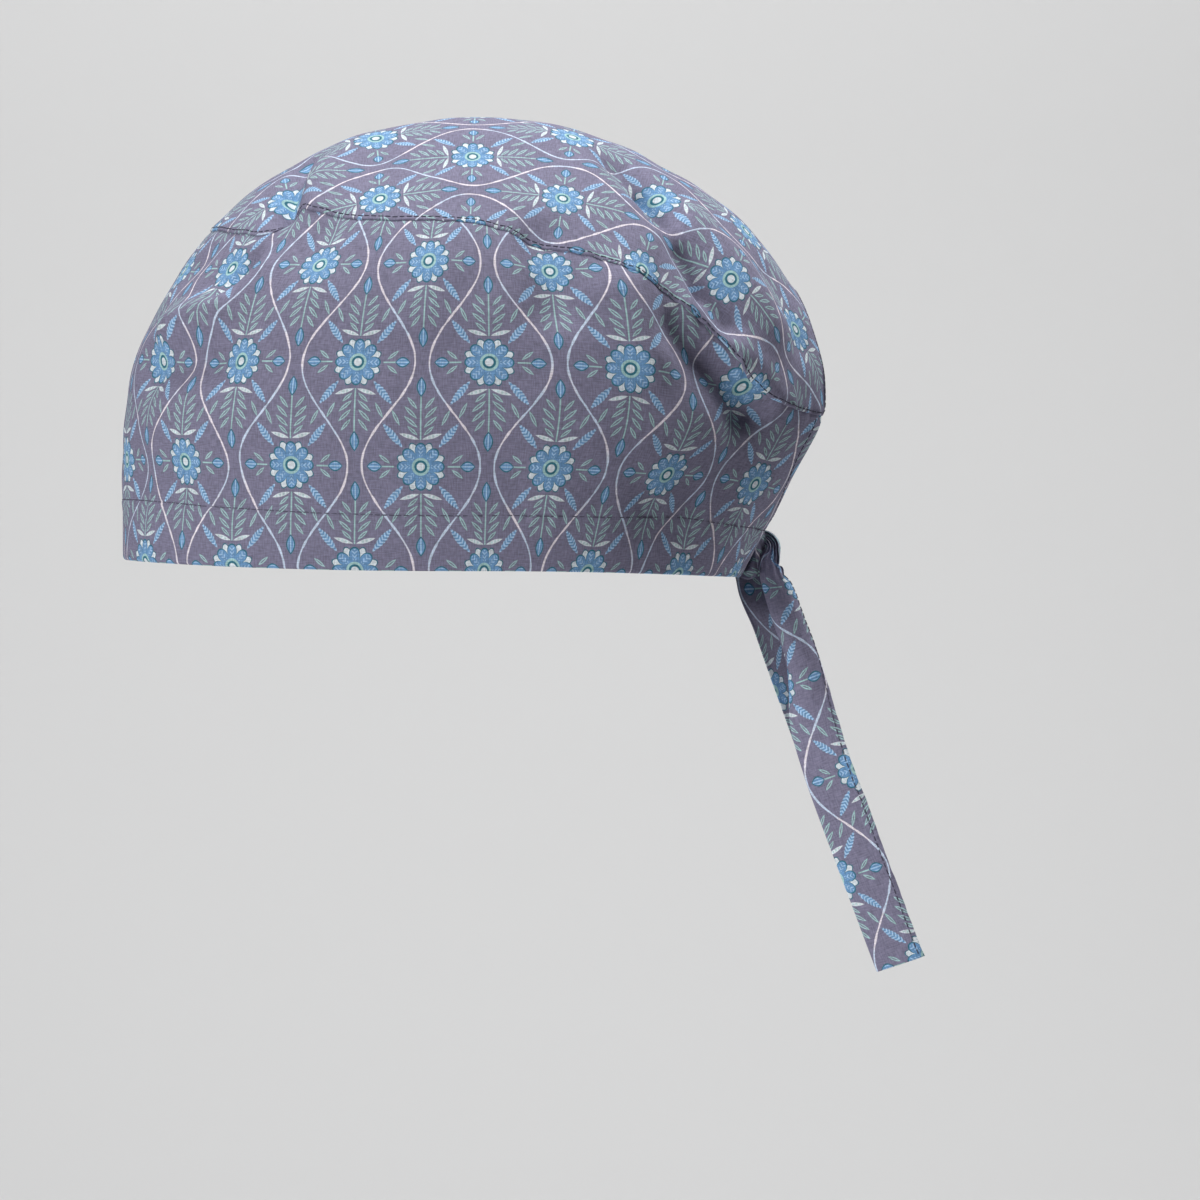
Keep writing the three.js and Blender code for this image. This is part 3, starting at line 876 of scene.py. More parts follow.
    def hem_stitch_path(self) -> np.ndarray:
        """Give the hem's stitch line, from end to end.

        Returns:
            The line's points, from one end to the other.
        """
        top_turn = self.turn_at(CORNER_RISE)
        low, _ = self.rates(top_turn, SEAM.read("rise", np.abs(top_turn)))
        turn = self.turn_at(self.hem_depth / low.mean())
        rim = self.hem_line(turn)
        rise = rim / low
        far_from_seam = np.full_like(rise, 1.0)
        points = self.place(turn, rise, rim, far_from_seam)
        return points + self.form.normal(turn, rise) * THREAD_LIFT

    def end_stitch_paths(self) -> list[np.ndarray]:
        """Give the stitch lines beside both ends, from the hem up to the seam.

        Returns:
            The points of one line for each end.
        """
        turn, rise, rim, seam = self.grid()
        points = self.place(turn, rise, rim, seam) + self.form.normal(turn, rise) * THREAD_LIFT
        end = self.lengths[-1] - np.abs(self.lengths)
        half = end[: len(end) // 2]
        column = int(np.argmin(np.abs(half - self.end_edge.stitch_line)))
        rows = (rim[:, column] > self.hem_depth) & (seam[:, column] > 2 * MM)
        return [points[rows, column], points[rows, len(end) - 1 - column]]

    def sew(self, sewing: "Stitching", hem_thread: bpy.types.Material,
            end_thread: bpy.types.Material) -> None:
        """Sew the topstitching of the hem and of both ends.

        Args:
            sewing: the maker of the stitches.
            hem_thread: the thread of the hem.
            end_thread: the thread of the ends.
        """
        hem_stitches = sewing.sew("hem_stitches", [self.hem_stitch_path()], False, hem_thread)
        end_stitches = sewing.sew("end_stitches", self.end_stitch_paths(), False, end_thread)
        dress_piece(hem_stitches, hem_thread)
        dress_piece(end_stitches, end_thread)


# A tie's way from the hem's end through the knot: distances as shares of the knot's depth, angles in
# degrees, and the gaps to the middle plane as shares of the hem's gap and of a strand
KNOT_COURSE = SmoothTable(
    ("along", "lean", "swing", "hem_gap", "strand", "gather", "bunch", "bend"),
    [
        (0.00, -12, 180, 1.0, 0.00, 0.3, 0.94, 0.4),
        (0.10, -10, 178, 0.8, 0.00, 0.6, 0.70, 0.4),
        (0.38, 0, 150, 0.3, 0.42, 1.0, 0.36, 0.8),
        (0.70, 40, 95, 0.0, 0.66, 1.0, 0.27, 2.0),
        (1.00, 80, 40, 0.0, 0.74, 1.0, 0.28, 3.4),
        (1.30, 98, 8, 0.0, 0.94, 0.8, 0.34, 3.8),
    ],
)

# The way that it hangs from there: shares of the tie's length, of its lean and of its spread
TAIL_COURSE = SmoothTable(
    ("along", "lean", "spread", "gather", "bunch", "near_bend", "far_bend"),
    [
        (0.03, -0.35, 0.80, 0.5, 0.40, 3.9, 0.9),
        (0.08, 0.30, 0.86, 0.1, 0.50, 3.9, 0.8),
        (0.15, 0.90, 0.92, 0.0, 0.60, 3.8, 0.7),
        (0.24, 1.03, 0.98, 0.0, 0.60, 3.6, 0.5),
        (0.31, 1.02, 1.00, 0.0, 0.60, 2.7, 0.4),
        (0.40, 0.98, 1.00, 0.0, 0.60, 1.1, 0.3),
        (0.50, 0.98, 1.00, 0.0, 0.60, 0.4, 0.3),
        (0.82, 1.00, 0.98, 0.0, 0.60, 0.3, 0.2),
        (1.00, 1.00, 0.97, 0.0, 0.60, 0.3, 0.2),
    ],
)


@dataclass
class Tie:
    """A flat folded strip that starts at one end of the hem, crosses the other and hangs down.

    The side is 1 for the strip that hangs nearest to the camera, and -1 for the far one.
    """

    form: HeadForm
    node: str
    side: int
    width: float = 16.4 * MM
    cloth: float = 1.3 * MM
    length: float = 134 * MM
    knot_cloth: float = 12 * MM
    lean: float = math.radians(20.5)
    spread: float = 6.2 * MM
    knot_depth: float = 6.2 * MM
    strand: float = 3.6 * MM
    hem_depth: float = 16.5 * MM
    hem_cloth: float = 2.3 * MM
    gather_depth: float = 0.9 * MM
    gather_folds: float = 5.5
    seam_inset: float = 1.4 * MM
    twist: float = 0.35
    far_twist: float = 0.75
    far_gather: float = 0.2
    far_slide: float = 3.6 * MM
    slide_kept: float = 0.45
    slide_reach: float = 6.5 * MM
    twist_span: tuple[float, float] = (-3 * MM, 22 * MM)
    crinkle_height: float = 0.35 * MM
    crinkle_width: float = 2.2 * MM
    crinkle_periods: tuple[float, ...] = (5.1 * MM, 8.7 * MM, 13 * MM)
    sway_height: float = 0.6 * MM
    sway_lift: float = 0.6
    sway_periods: tuple[float, ...] = (31 * MM, 52 * MM)
    edge_squareness: int = 10
    edge_least: float = 0.02
    stitch_start: float = 13.64 * MM
    stitch_stop: float = 1.6 * MM
    print_shift: tuple[float, float] = (10 * MM, 13 * MM)
    # Brightness factors of the ties' cotton: painted light makes the near tie lighter, and painted
    # shade makes the far tie darker, as if it hung in the near tie's shadow
    near_painted_light: float = 1.22
    far_painted_shade: float = 0.84
    stations: int = 300
    across: int = 41
    middle: np.ndarray = field(init=False)
    upward: np.ndarray = field(init=False)
    outward: np.ndarray = field(init=False)
    distance: np.ndarray = field(init=False)
    table: SmoothTable = field(init=False)

    def __post_init__(self) -> None:
        """Work out the course, and the width and thickness directions along it."""
        rise = np.array(self.hem_depth / self.form.height / 2)
        turn = self.form.keyhole_turn(rise)
        hem_end = self.form.body(turn, rise) - self.form.normal(turn, rise) * self.hem_cloth / 2
        self.table = self.course(-hem_end[1])
        self.distance = self.table.values[-1, 0] * np.linspace(0, 1, self.stations) ** 1.5
        heading = self.table.read("heading", self.distance)
        stride = np.diff(self.distance)
        between = self.table.read("heading", (self.distance[1:] + self.distance[:-1]) / 2)
        x = hem_end[0] + np.concatenate(([0], np.cumsum(stride * np.cos(between))))
        z = hem_end[2] - np.concatenate(([0], np.cumsum(stride * np.sin(between))))
        swing = self.table.read("swing", self.distance)
        offset = self.table.read("offset", self.distance)
        upward = np.stack((np.sin(heading), 0 * heading, np.cos(heading)), -1)
        middle = np.stack((x, -self.side * offset * np.cos(swing), z), -1)
        middle += (offset * np.sin(swing) * self.side)[:, None] * upward
        forward = np.gradient(middle, axis=0)
        forward[0] = (0, -self.side, 0)
        forward /= np.linalg.norm(forward, axis=-1, keepdims=True)
        outward = np.cross(forward, upward)
        outward /= np.linalg.norm(outward, axis=-1, keepdims=True)
        twist = self.twist if self.side > 0 else -self.far_twist
        twist = twist * blend_step(*self.twist_span, self.distance - self.knot_end)[:, None]
        across = np.cross(outward, forward)
        self.middle = middle
        self.upward = across * np.cos(twist) + outward * np.sin(twist)
        self.outward = outward * np.cos(twist) - across * np.sin(twist)

    @property
    def knot_end(self) -> float:
        """Give the distance along the course at which the knot ends."""
        return KNOT_COURSE.values[-1, 0] * self.knot_depth

    def course(self, hem_gap: float) -> SmoothTable:
        """Give the course's table in metres and radians.

        Args:
            hem_gap: from the middle plane to the hem's end.

        Returns:
            The table, one row for each station.
        """
        loose = 1.0 if self.side > 0 else self.far_gather
        rows = [(along * self.knot_depth, math.radians(lean), math.radians(swing),
                 gap * hem_gap + strand * self.strand, gather * loose, bunch, bend * loose)
                for along, lean, swing, gap, strand, gather, bunch, bend in KNOT_COURSE.values]
        rows += [(self.knot_end + along * self.length, math.pi / 2 - lean * self.lean, 0.0,
                  spread * self.spread, gather * loose, bunch, near if self.side > 0 else far)
                 for along, lean, spread, gather, bunch, near, far in TAIL_COURSE.values]
        columns = ("distance", "heading", "swing", "offset", "gather", "bunch", "bend")
        return SmoothTable(columns, rows)

    def surface(self, share: np.ndarray, lift: np.ndarray | float) -> np.ndarray:
        """Give points of the strip all along its course.

        Args:
            share: places across it, from -0.5 to 0.5, where 0.5 is the topstitched edge.
            lift: distances off its middle layer, towards the side that shows.

        Returns:
            The points, a row for each station.
        """
        bend = self.table.read("bend", self.distance)[:, None]
        gather = np.clip(self.table.read("gather", self.distance), 0, 1)[:, None]
        angle = bend * share
        radius = self.width / bend
        half_span = radius * np.sin(np.minimum(bend / 2, math.pi / 2))
        rolled = radius * np.sin(angle) + self.width / 2 - half_span
        sunk = radius * (1 - np.cos(angle))
        folds = np.sin(share * 2 * math.pi * self.gather_folds)
        bunched = self.table.read("bunch", self.distance)[:, None] * self.width * share
        across = bunched * gather + rolled * (1 - gather)
        if self.side < 0:
            near_knot = bump_at(self.distance, self.knot_end, self.slide_reach)[:, None]
            kept = self.slide_kept + (1 - self.slide_kept) * near_knot
            across = across - self.far_slide * kept
        depth = -sunk * (1 - gather) + self.gather_depth * folds * gather
        seam = np.exp(-(0.5 - share) * self.width / self.crinkle_width) * (1 - gather)
        crinkle = ripple(self.distance, self.crinkle_periods, seed=31 + self.side)
        depth += self.crinkle_height * crinkle[:, None] * seam
        sway = ripple(self.distance, self.sway_periods, seed=41 + self.side)
        depth += self.sway_height * sway[:, None] * (1 - gather) * (self.sway_lift + share)
        face = np.cos(angle * (1 - gather))
        slant = np.sin(angle * (1 - gather))
        centre = self.middle[:, None] + across[..., None] * self.upward[:, None]
        out = self.outward[:, None] * self.facing()
        centre += depth[..., None] * out
        return centre + lift * (face[..., None] * out + slant[..., None] * self.upward[:, None])

    def facing(self) -> float:
        """Tell which way the thickness directions point where the strip hangs: 1 is away."""
        return 1.0 if self.outward[-1, 1] * self.side < 0 else -1.0

    def build(self) -> bpy.types.Object:
        """Build the strip.

        Returns:
            The object, still without a material.
        """
        share = np.sin(np.linspace(-0.5, 0.5, self.across) * math.pi) / 2
        edge = np.clip(1 - (np.abs(share) * 2) ** self.edge_squareness, self.edge_least, 1)
        half = self.cloth / 2 * np.sqrt(edge)[None, :, None]
        outer, inner = self.surface(share, half), self.surface(share, -half)
        across = np.broadcast_to(share * self.width, outer.shape[:2])
        flat = np.stack((across, np.broadcast_to(self.distance[:, None], across.shape)), -1)
        if self.facing() * self.side > 0:
            outer, inner, flat = outer[:, ::-1], inner[:, ::-1], flat[:, ::-1]
        name = self.node + "_cloth"
        return add_object(name, Wall(outer, inner, flat, closed=False).mesh(name))

    def dress(self, strip: bpy.types.Object, band_cloth: bpy.types.Object) -> None:
        """Give the strip its printed cotton and its place in the model.

        Args:
            strip: the tie's cloth.
            band_cloth: the band's cloth; not used.
        """
        # Painted light brightens the near tie's cotton, and painted shade darkens the far tie's cotton,
        # which stands in for its shadow
        painted_light_factor = self.near_painted_light if self.side > 0 else self.far_painted_shade
        cotton = PrintedCotton(self.node + "_cotton", self.print_shift, painted_light_factor).make()
        dress_piece(strip, cotton)
        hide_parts(self.node)

    def stitch_path(self) -> np.ndarray:
        """Give the topstitch line's points beside the long seamed edge, below the knot.

        Returns:
            The line's points, from the knot down.
        """
        share = np.array([0.5 - self.seam_inset / self.width])
        points = self.surface(share, self.cloth / 2 + THREAD_LIFT)[:, 0]
        stop = self.distance[-1] - self.stitch_stop
        return points[(self.distance > self.stitch_start) & (self.distance < stop)]


class Signal:
    """A shader socket that takes Python's arithmetic."""

    def __init__(self, tree: "NodeTree", socket: bpy.types.NodeSocket) -> None:
        """Wrap a socket of a tree."""
        self.tree = tree
        self.socket = socket

    def math(self, operation: str, *others: "Signal | float", clamp: bool = False) -> "Signal":
        """Add a Math node of this value and others.

        Args:
            operation: the Math node's operation.
            others: its further values.
            clamp: whether the result stays between 0 and 1.

        Returns:
            The node's value.
        """
        node = self.tree.node("ShaderNodeMath", {"operation": operation, "use_clamp": clamp},
                              dict(enumerate((self, *others))))
        return node.out(0)

    def __add__(self, other: "Signal | float") -> "Signal":
        """Add."""
        return self.math("ADD", other)

    __radd__ = __add__

    def __sub__(self, other: "Signal | float") -> "Signal":
        """Subtract."""
        return self.math("SUBTRACT", other)

    def __rsub__(self, other: float) -> "Signal":
        """Subtract from a number."""
        return (self * -1.0) + other

    def __mul__(self, other: "Signal | float") -> "Signal":
        """Multiply."""
        return self.math("MULTIPLY", other)

    __rmul__ = __mul__

    def __truediv__(self, other: "Signal | float") -> "Signal":
        """Divide."""
        return self.math("DIVIDE", other)

    def __abs__(self) -> "Signal":
        """Drop the sign."""
        return self.math("ABSOLUTE")

    def least(self, other: "Signal | float") -> "Signal":
        """Take the lesser."""
        return self.math("MINIMUM", other)

    def most(self, other: "Signal | float") -> "Signal":
        """Take the greater."""
        return self.math("MAXIMUM", other)

    def step(self, low: float, high: float) -> "Signal":
        """Go smoothly from 0 at low to 1 at high.

        Args:
            low: the value that gives 0.
            high: the value that gives 1.

        Returns:
            The stepped value.
        """
        node = self.tree.node("ShaderNodeMapRange", {"interpolation_type": "SMOOTHSTEP"},
                              {"Value": self, "From Min": low, "From Max": high})
        return node.out("Result")


class Node:
    """A node of a tree, whose outputs are read as signals."""

    def __init__(self, tree: "NodeTree", node: bpy.types.Node) -> None:
        """Wrap a node of a tree."""
        self.tree = tree
        self.node = node

    def out(self, key: str | int) -> Signal:
        """Give an output by its name or number."""
        return Signal(self.tree, self.node.outputs[key])


class NodeTree:
    """A material's node tree."""

    def __init__(self, material: bpy.types.Material) -> None:
        """Empty the material's tree.

        Args:
            material: the material whose tree is built.
        """
        material.use_nodes = True
        self.tree = material.node_tree
        self.tree.nodes.clear()

    def node(self, kind: str, settings: dict[str, object] | None = None,
             values: dict[str | int, object] | None = None) -> Node:
        """Add a node.

        Args:
            kind: the node's type.
            settings: the node's properties, set first.
            values: numbers, colours or signals for its inputs, by name or number.

        Returns:
            The node.
        """
        node = self.tree.nodes.new(kind)
        for name, value in (settings or {}).items():
            setattr(node, name, value)
        for key, value in (values or {}).items():
            socket = node.inputs[key]
            if isinstance(value, Signal):
                self.tree.links.new(value.socket, socket)
            else:
                socket.default_value = value
        return Node(self, node)

    def noise(self, place: Signal, scale: float, detail: float = 0.0) -> Signal:
        """Add flat noise of about 0 to 1."""
        return self.node("ShaderNodeTexNoise", {"noise_dimensions": "2D"},
                         {"Vector": place, "Scale": scale, "Detail": detail}).out(0)

    def mix(self, mask: Signal, below: "Signal | Colour", above: "Signal | Colour") -> Signal:
        """Lay one colour over another where a mask is 1.

        Args:
            mask: how much of the upper colour shows, from 0 to 1.
            below: the lower colour.
            above: the upper colour.

        Returns:
            The mixed colour.
        """
        node = self.node("ShaderNodeMix", {"data_type": "RGBA", "clamp_factor": True}).node
        sockets = [socket for socket in node.inputs if socket.enabled]
        for socket, value in zip(sockets, (mask, below, above)):
            if isinstance(value, Signal):
                self.tree.links.new(value.socket, socket)
            else:
                socket.default_value = (*value, 1.0)
        return Signal(self, next(socket for socket in node.outputs if socket.enabled))

    def plane(self, across: Signal, up: Signal) -> Signal:
        """Join two numbers into a flat place."""
        return self.node("ShaderNodeCombineXYZ", {}, {0: across, 1: up}).out(0)

    def surface(self, values: dict[str | int, object]) -> None:
        """End the tree in one shader with these inputs."""
        shader = self.node("ShaderNodeBsdfPrincipled", {}, values)
        self.node("ShaderNodeOutputMaterial", {}, {"Surface": shader.out(0)})


def linear(red: int, green: int, blue: int) -> Colour:
    """Turn a colour of 0 to 255 into the linear values that shaders take.

    Args:
        red: red, from 0 to 255.
        green: green, from 0 to 255.
        blue: blue, from 0 to 255.

    Returns:
        The three linear values.
    """
    def channel(value: int) -> float:
        """Turn one channel."""
        share = value / 255
        return share / 12.92 if share <= 0.04045 else ((share + 0.055) / 1.055) ** 2.4
    return channel(red), channel(green), channel(blue)


class Motif(Enum):
    """The ways in which a leaf of the print is painted."""

    FROND = "frond"
    PALE = "pale"
    FEATHER = "feather"
    BUD = "bud"


@dataclass(frozen=True)
class Leaf:
    """A pointed leaf of the print in one quarter of a cell, in millimetres and degrees."""

    kind: Motif
    centre: tuple[float, float]
    angle: float
    length: float
    width: float


# The leaves and buds round a flower, in the quarter of the cell above it and to its right
SPRAYS = (
    Leaf(Motif.FROND, (2.4, 10.6), 42, 2.0, 0.5),
    Leaf(Motif.FROND, (2.9, 13.2), 40, 2.6, 0.55),
    Leaf(Motif.FROND, (3.0, 16.0), 44, 2.6, 0.55),
    Leaf(Motif.FROND, (2.6, 18.8), 50, 2.3, 0.5),
    Leaf(Motif.FROND, (10.8, 2.2), 38, 2.1, 0.5),
    Leaf(Motif.FROND, (7.4, 14.4), 62, 2.6, 0.5),
    Leaf(Motif.PALE, (3.4, 8.9), 16, 3.0, 0.6),
    Leaf(Motif.FEATHER, (8.3, 9.2), 50, 4.6, 1.05),
    Leaf(Motif.BUD, (0.0, 23.6), 90, 3.0, 1.45),
    Leaf(Motif.BUD, (13.9, 0.0), 0, 2.3, 1.6),
)


@dataclass(frozen=True)
class Print:
    """A medallion print: smooth ogee cells with a round flower and sprays in each."""

    cell_width: float = 39.8 * MM
    cell_height: float = 62 * MM
    swell: float = 0.195
    line: float = 0.2
    edge: tuple[float, float] = (-0.1, 0.1)
    fill_edge: tuple[float, float] = (0.3, 0.45)
    stem_half: float = 0.17
    stem_span: tuple[float, float] = (8.0, 21.0)
    arm_span: tuple[float, float] = (8.0, 12.2)
    petal_turns: float = 4.0
    back_petals: tuple[float, float] = (4.6, 3.0)
    front_petals: tuple[float, float] = (4.0, 3.1)
    barbed_from: float = 2.9
    eye_rings: tuple[float, ...] = (2.75, 2.0, 1.3)
    ground: Colour = linear(125, 122, 145)
    petal: Colour = linear(108, 150, 192)
    petal_light: Colour = linear(170, 200, 228)
    outline: Colour = linear(52, 112, 130)
    leaf: Colour = linear(164, 200, 200)
    leaf_pale: Colour = linear(216, 224, 230)
    line_cool: Colour = linear(200, 214, 234)
    line_warm: Colour = linear(232, 224, 232)

    def leaf_shape(self, x: Signal, y: Signal, leaf: Leaf) -> tuple[Signal, Signal, Signal]:
        """Measure where a place lies in a pointed leaf.

        Args:
            x: places across, in millimetres.
            y: places up, in millimetres.
            leaf: the leaf.

        Returns:
            Millimetres inside it, below zero outside, and places along it and beside its rib.
        """
        cos, sin = math.cos(math.radians(leaf.angle)), math.sin(math.radians(leaf.angle))
        middle_x, middle_y = leaf.centre
        along = x * cos + y * sin - (middle_x * cos + middle_y * sin)
        aside = abs(y * cos - x * sin - (middle_y * cos - middle_x * sin))
        inside = leaf.width - along * along * (leaf.width / leaf.length**2) - aside
        return inside, along, aside

    def trellis(self, tree: NodeTree, across: Signal, up: Signal) -> tuple[Signal, Signal, Signal]:
        """Lay out the cells and draw the lines between them.

        Args:
            tree: the material's tree.
            across: places across, in cells.
            up: places up, in cells.

        Returns:
            The colour, and places in the cell's quarter, in millimetres.
        """
        first_x, first_y = across.math("FRACT") - 0.5, up.math("FRACT") - 0.5
        next_x, next_y = (across + 0.5).math("FRACT") - 0.5, (up + 0.5).math("FRACT") - 0.5
        turn = first_y * (2 * math.pi)
        bound = turn.math("COSINE") * self.swell + 0.25
        inside = abs(first_x).math("LESS_THAN", bound)
        outside = 1.0 - inside
        slope = turn.math("SINE") * (self.swell * 2 * math.pi * self.cell_width / self.cell_height)
        gap = (abs(first_x) - bound) * (self.cell_width / MM)
        gap = abs(gap) / (slope * slope + 1.0).math("SQRT")
        x = abs(first_x * inside + next_x * outside) * (self.cell_width / MM)
        y = abs(first_y * inside + next_y * outside) * (self.cell_height / MM)
        place = tree.plane(across, up)
        drift = tree.noise(place, 3.1)
        tone = tree.mix(drift.step(0.42, 0.58), self.line_cool, self.line_warm)
        weight = tree.noise(place, 17.0).step(0.3, 0.7) * 0.16 + self.line
        return tree.mix((weight - gap).step(-0.12, 0.08), self.ground, tone), x, y

    def colour(self, tree: NodeTree, u: Signal, v: Signal) -> Signal:
        """Draw the print.

        Args:
            tree: the material's tree.
            u: places across the cloth, in metres.
            v: places up the cloth, in metres.

        Returns:
            The print's colour.
        """
        colour, x, y = self.trellis(tree, u / self.cell_width, v / self.cell_height)
        stem_from, stem_to = self.stem_span
        arm_from, arm_to = self.arm_span
        stem = (x - self.stem_half).most(stem_from - y).most(y - stem_to)
        arm = (y - self.stem_half).most(arm_from - x).most(x - arm_to)
        colour = tree.mix(1.0 - stem.least(arm).step(-0.05, 0.13), colour, self.leaf)
        for leaf in SPRAYS:
            colour = self.spray(tree, leaf, *self.leaf_shape(x, y, leaf), colour)
        return self.flower(tree, x, y, colour)

    def spray(self, tree: NodeTree, leaf: Leaf, inside: Signal, along: Signal, aside: Signal,
              colour: Signal) -> Signal:
        """Lay one leaf over a colour.

        Args:
            tree: the material's tree.
            leaf: the leaf.
            inside: millimetres inside its outline.
            along: places along its rib, in millimetres.
            aside: distances from its rib, in millimetres.
            colour: what lies below.

        Returns:
            The colour with the leaf.
        """
        shape = inside.step(*self.edge)
        if leaf.kind is Motif.FROND:
            colour = tree.mix(shape, colour, self.leaf)
            return tree.mix((inside - aside * 0.4).step(0.18, 0.34), colour, self.ground)
        if leaf.kind is Motif.PALE:
            colour = tree.mix(shape, colour, self.leaf_pale)
            barbs = ((along * 5.2).math("SINE") + 0.1).step(-0.2, 0.3) * inside.step(0.15, 0.3)
            return tree.mix(barbs * 0.6, colour, self.leaf)
        if leaf.kind is Motif.FEATHER:
            barbs = (along * 5.6 - aside * 4.2).math("SINE").step(-0.3, 0.3)
            fill = tree.mix(barbs, self.petal, self.petal_light)
            return tree.mix((inside + barbs * 0.16).step(0.0, 0.2), colour, fill)
        colour = tree.mix(shape, colour, self.outline)
        colour = tree.mix(inside.step(*self.fill_edge), colour, self.petal)
        streaks = (aside * 6.5).math("COSINE").step(0.1, 0.7)
        return tree.mix(streaks * inside.step(0.4, 0.6), colour, self.petal_light)

    def flower(self, tree: NodeTree, x: Signal, y: Signal, colour: Signal) -> Signal:
        """Lay the round flower over a colour.

        Args:
            tree: the material's tree.
            x: places across, in millimetres.
            y: places up, in millimetres.
            colour: what lies below.

        Returns:
            The colour with the flower.
        """
        radius = (x * x + y * y).math("SQRT")
        angle = y.math("ARCTAN2", x)
        back_base, back_length = self.back_petals
        back = abs((angle * self.petal_turns).math("SINE"))
        tips = back.math("POWER", 1.6) * back_length + back_base - radius
        colour = tree.mix(tips.step(*self.edge), colour, self.outline)
        colour = tree.mix(tips.step(*self.fill_edge), colour, self.leaf_pale)
        front_base, front_length = self.front_petals
        lobes = abs((angle * self.petal_turns).math("COSINE"))
        inside = lobes.math("POWER", 0.6) * front_length + front_base - radius
        colour = tree.mix(inside.step(*self.edge), colour, self.outline)
        colour = tree.mix(inside.step(0.35, 0.5), colour, self.petal)
        side = (1.0 - lobes * lobes).math("SQRT")
        barbs = (radius * 5.2 - side * 7.0).math("SINE").step(-0.1, 0.5)
        barbed = inside.step(0.5, 0.8) * (0.62 - side).step(0.0, 0.12)
        barbed = barbed * (radius - self.barbed_from).step(0.0, 0.4)
        colour = tree.mix(barbs * barbed * 0.85, colour, self.petal_light)
        for ring, paint in zip(self.eye_rings, (self.leaf, self.outline, self.leaf_pale)):
            colour = tree.mix((ring - radius).step(0.0, 0.2), colour, paint)
        return colour


@dataclass(frozen=True)
class PrintedCotton:
    """Printed plain-weave cotton. Its brightness factor multiplies its colour: above 1 it is painted
    light, below 1 painted shade.
    """

    name: str
    shift: tuple[float, float] = (0.0, 0.0)
    painted_light_factor: float = 1.0
    rib: float = 0.52 * MM
    yarn_scales: tuple[float, float] = (2600.0, 420.0)
    blotch_scale: float = 300.0
    bump_height: float = 0.12 * MM
    pattern: Print = Print()

    def make(self) -> bpy.types.Material:
        """Make the material.

        Returns:
            The material.
        """
        material = bpy.data.materials.new(self.name)
        tree = NodeTree(material)
        cloth = tree.node("ShaderNodeUVMap", {"uv_map": UV_NAME}).out(0)
        split = tree.node("ShaderNodeSeparateXYZ", {}, {0: cloth})
        u, v = split.out(0) + self.shift[0], split.out(1) + self.shift[1]
        colour = self.pattern.colour(tree, u, v)
        beside, along = self.yarn_scales
        warp = tree.noise(tree.plane(u * beside, v * along), 1.0)
        weft = tree.noise(tree.plane(u * along, v * beside), 1.0)
        ribs = abs(((u + v) * (math.pi / self.rib)).math("SINE"))
        blotch = tree.noise(cloth, self.blotch_scale, 3.0)
        tint = (warp + weft - 1.0) * 0.42 + (blotch - 0.5) * 0.16 + (ribs - 0.64) * 0.14 + 1.0
        # The brightness factor scales the colour: painted light above 1, painted shade below 1
        tinted = tree.node("ShaderNodeVectorMath", {"operation": "SCALE"},
                           {0: colour, "Scale": tint * self.painted_light_factor}).out(0)
        bump = tree.node("ShaderNodeBump", {}, {"Strength": 0.4, "Distance": self.bump_height,
                                                "Height": warp + weft + ribs * 0.5}).out(0)
        tree.surface({"Base Color": tinted, "Roughness": 0.86, "Specular IOR Level": 0.25,
                      "Normal": bump})
        return material


@dataclass(frozen=True)
class PlainFinish:
    """A finish of one colour with a fine grain."""

    name: str
    colour: Colour
    roughness: float = 0.8
    grain: float = 0.1
    grain_scale: float = 900.0

    def make(self) -> bpy.types.Material:
        """Make the material.

        Returns:
            The material.
        """
        material = bpy.data.materials.new(self.name)
        tree = NodeTree(material)
        place = tree.node("ShaderNodeTexCoord").out("Object")
        noise = tree.node("ShaderNodeTexNoise", {}, {"Vector": place, "Scale": self.grain_scale}).out(0)
        dark = tuple(value * (1 - self.grain) for value in self.colour)
        colour = tree.mix(noise, dark, self.colour)
        tree.surface({"Base Color": colour, "Roughness": self.roughness, "Specular IOR Level": 0.2})
        return material


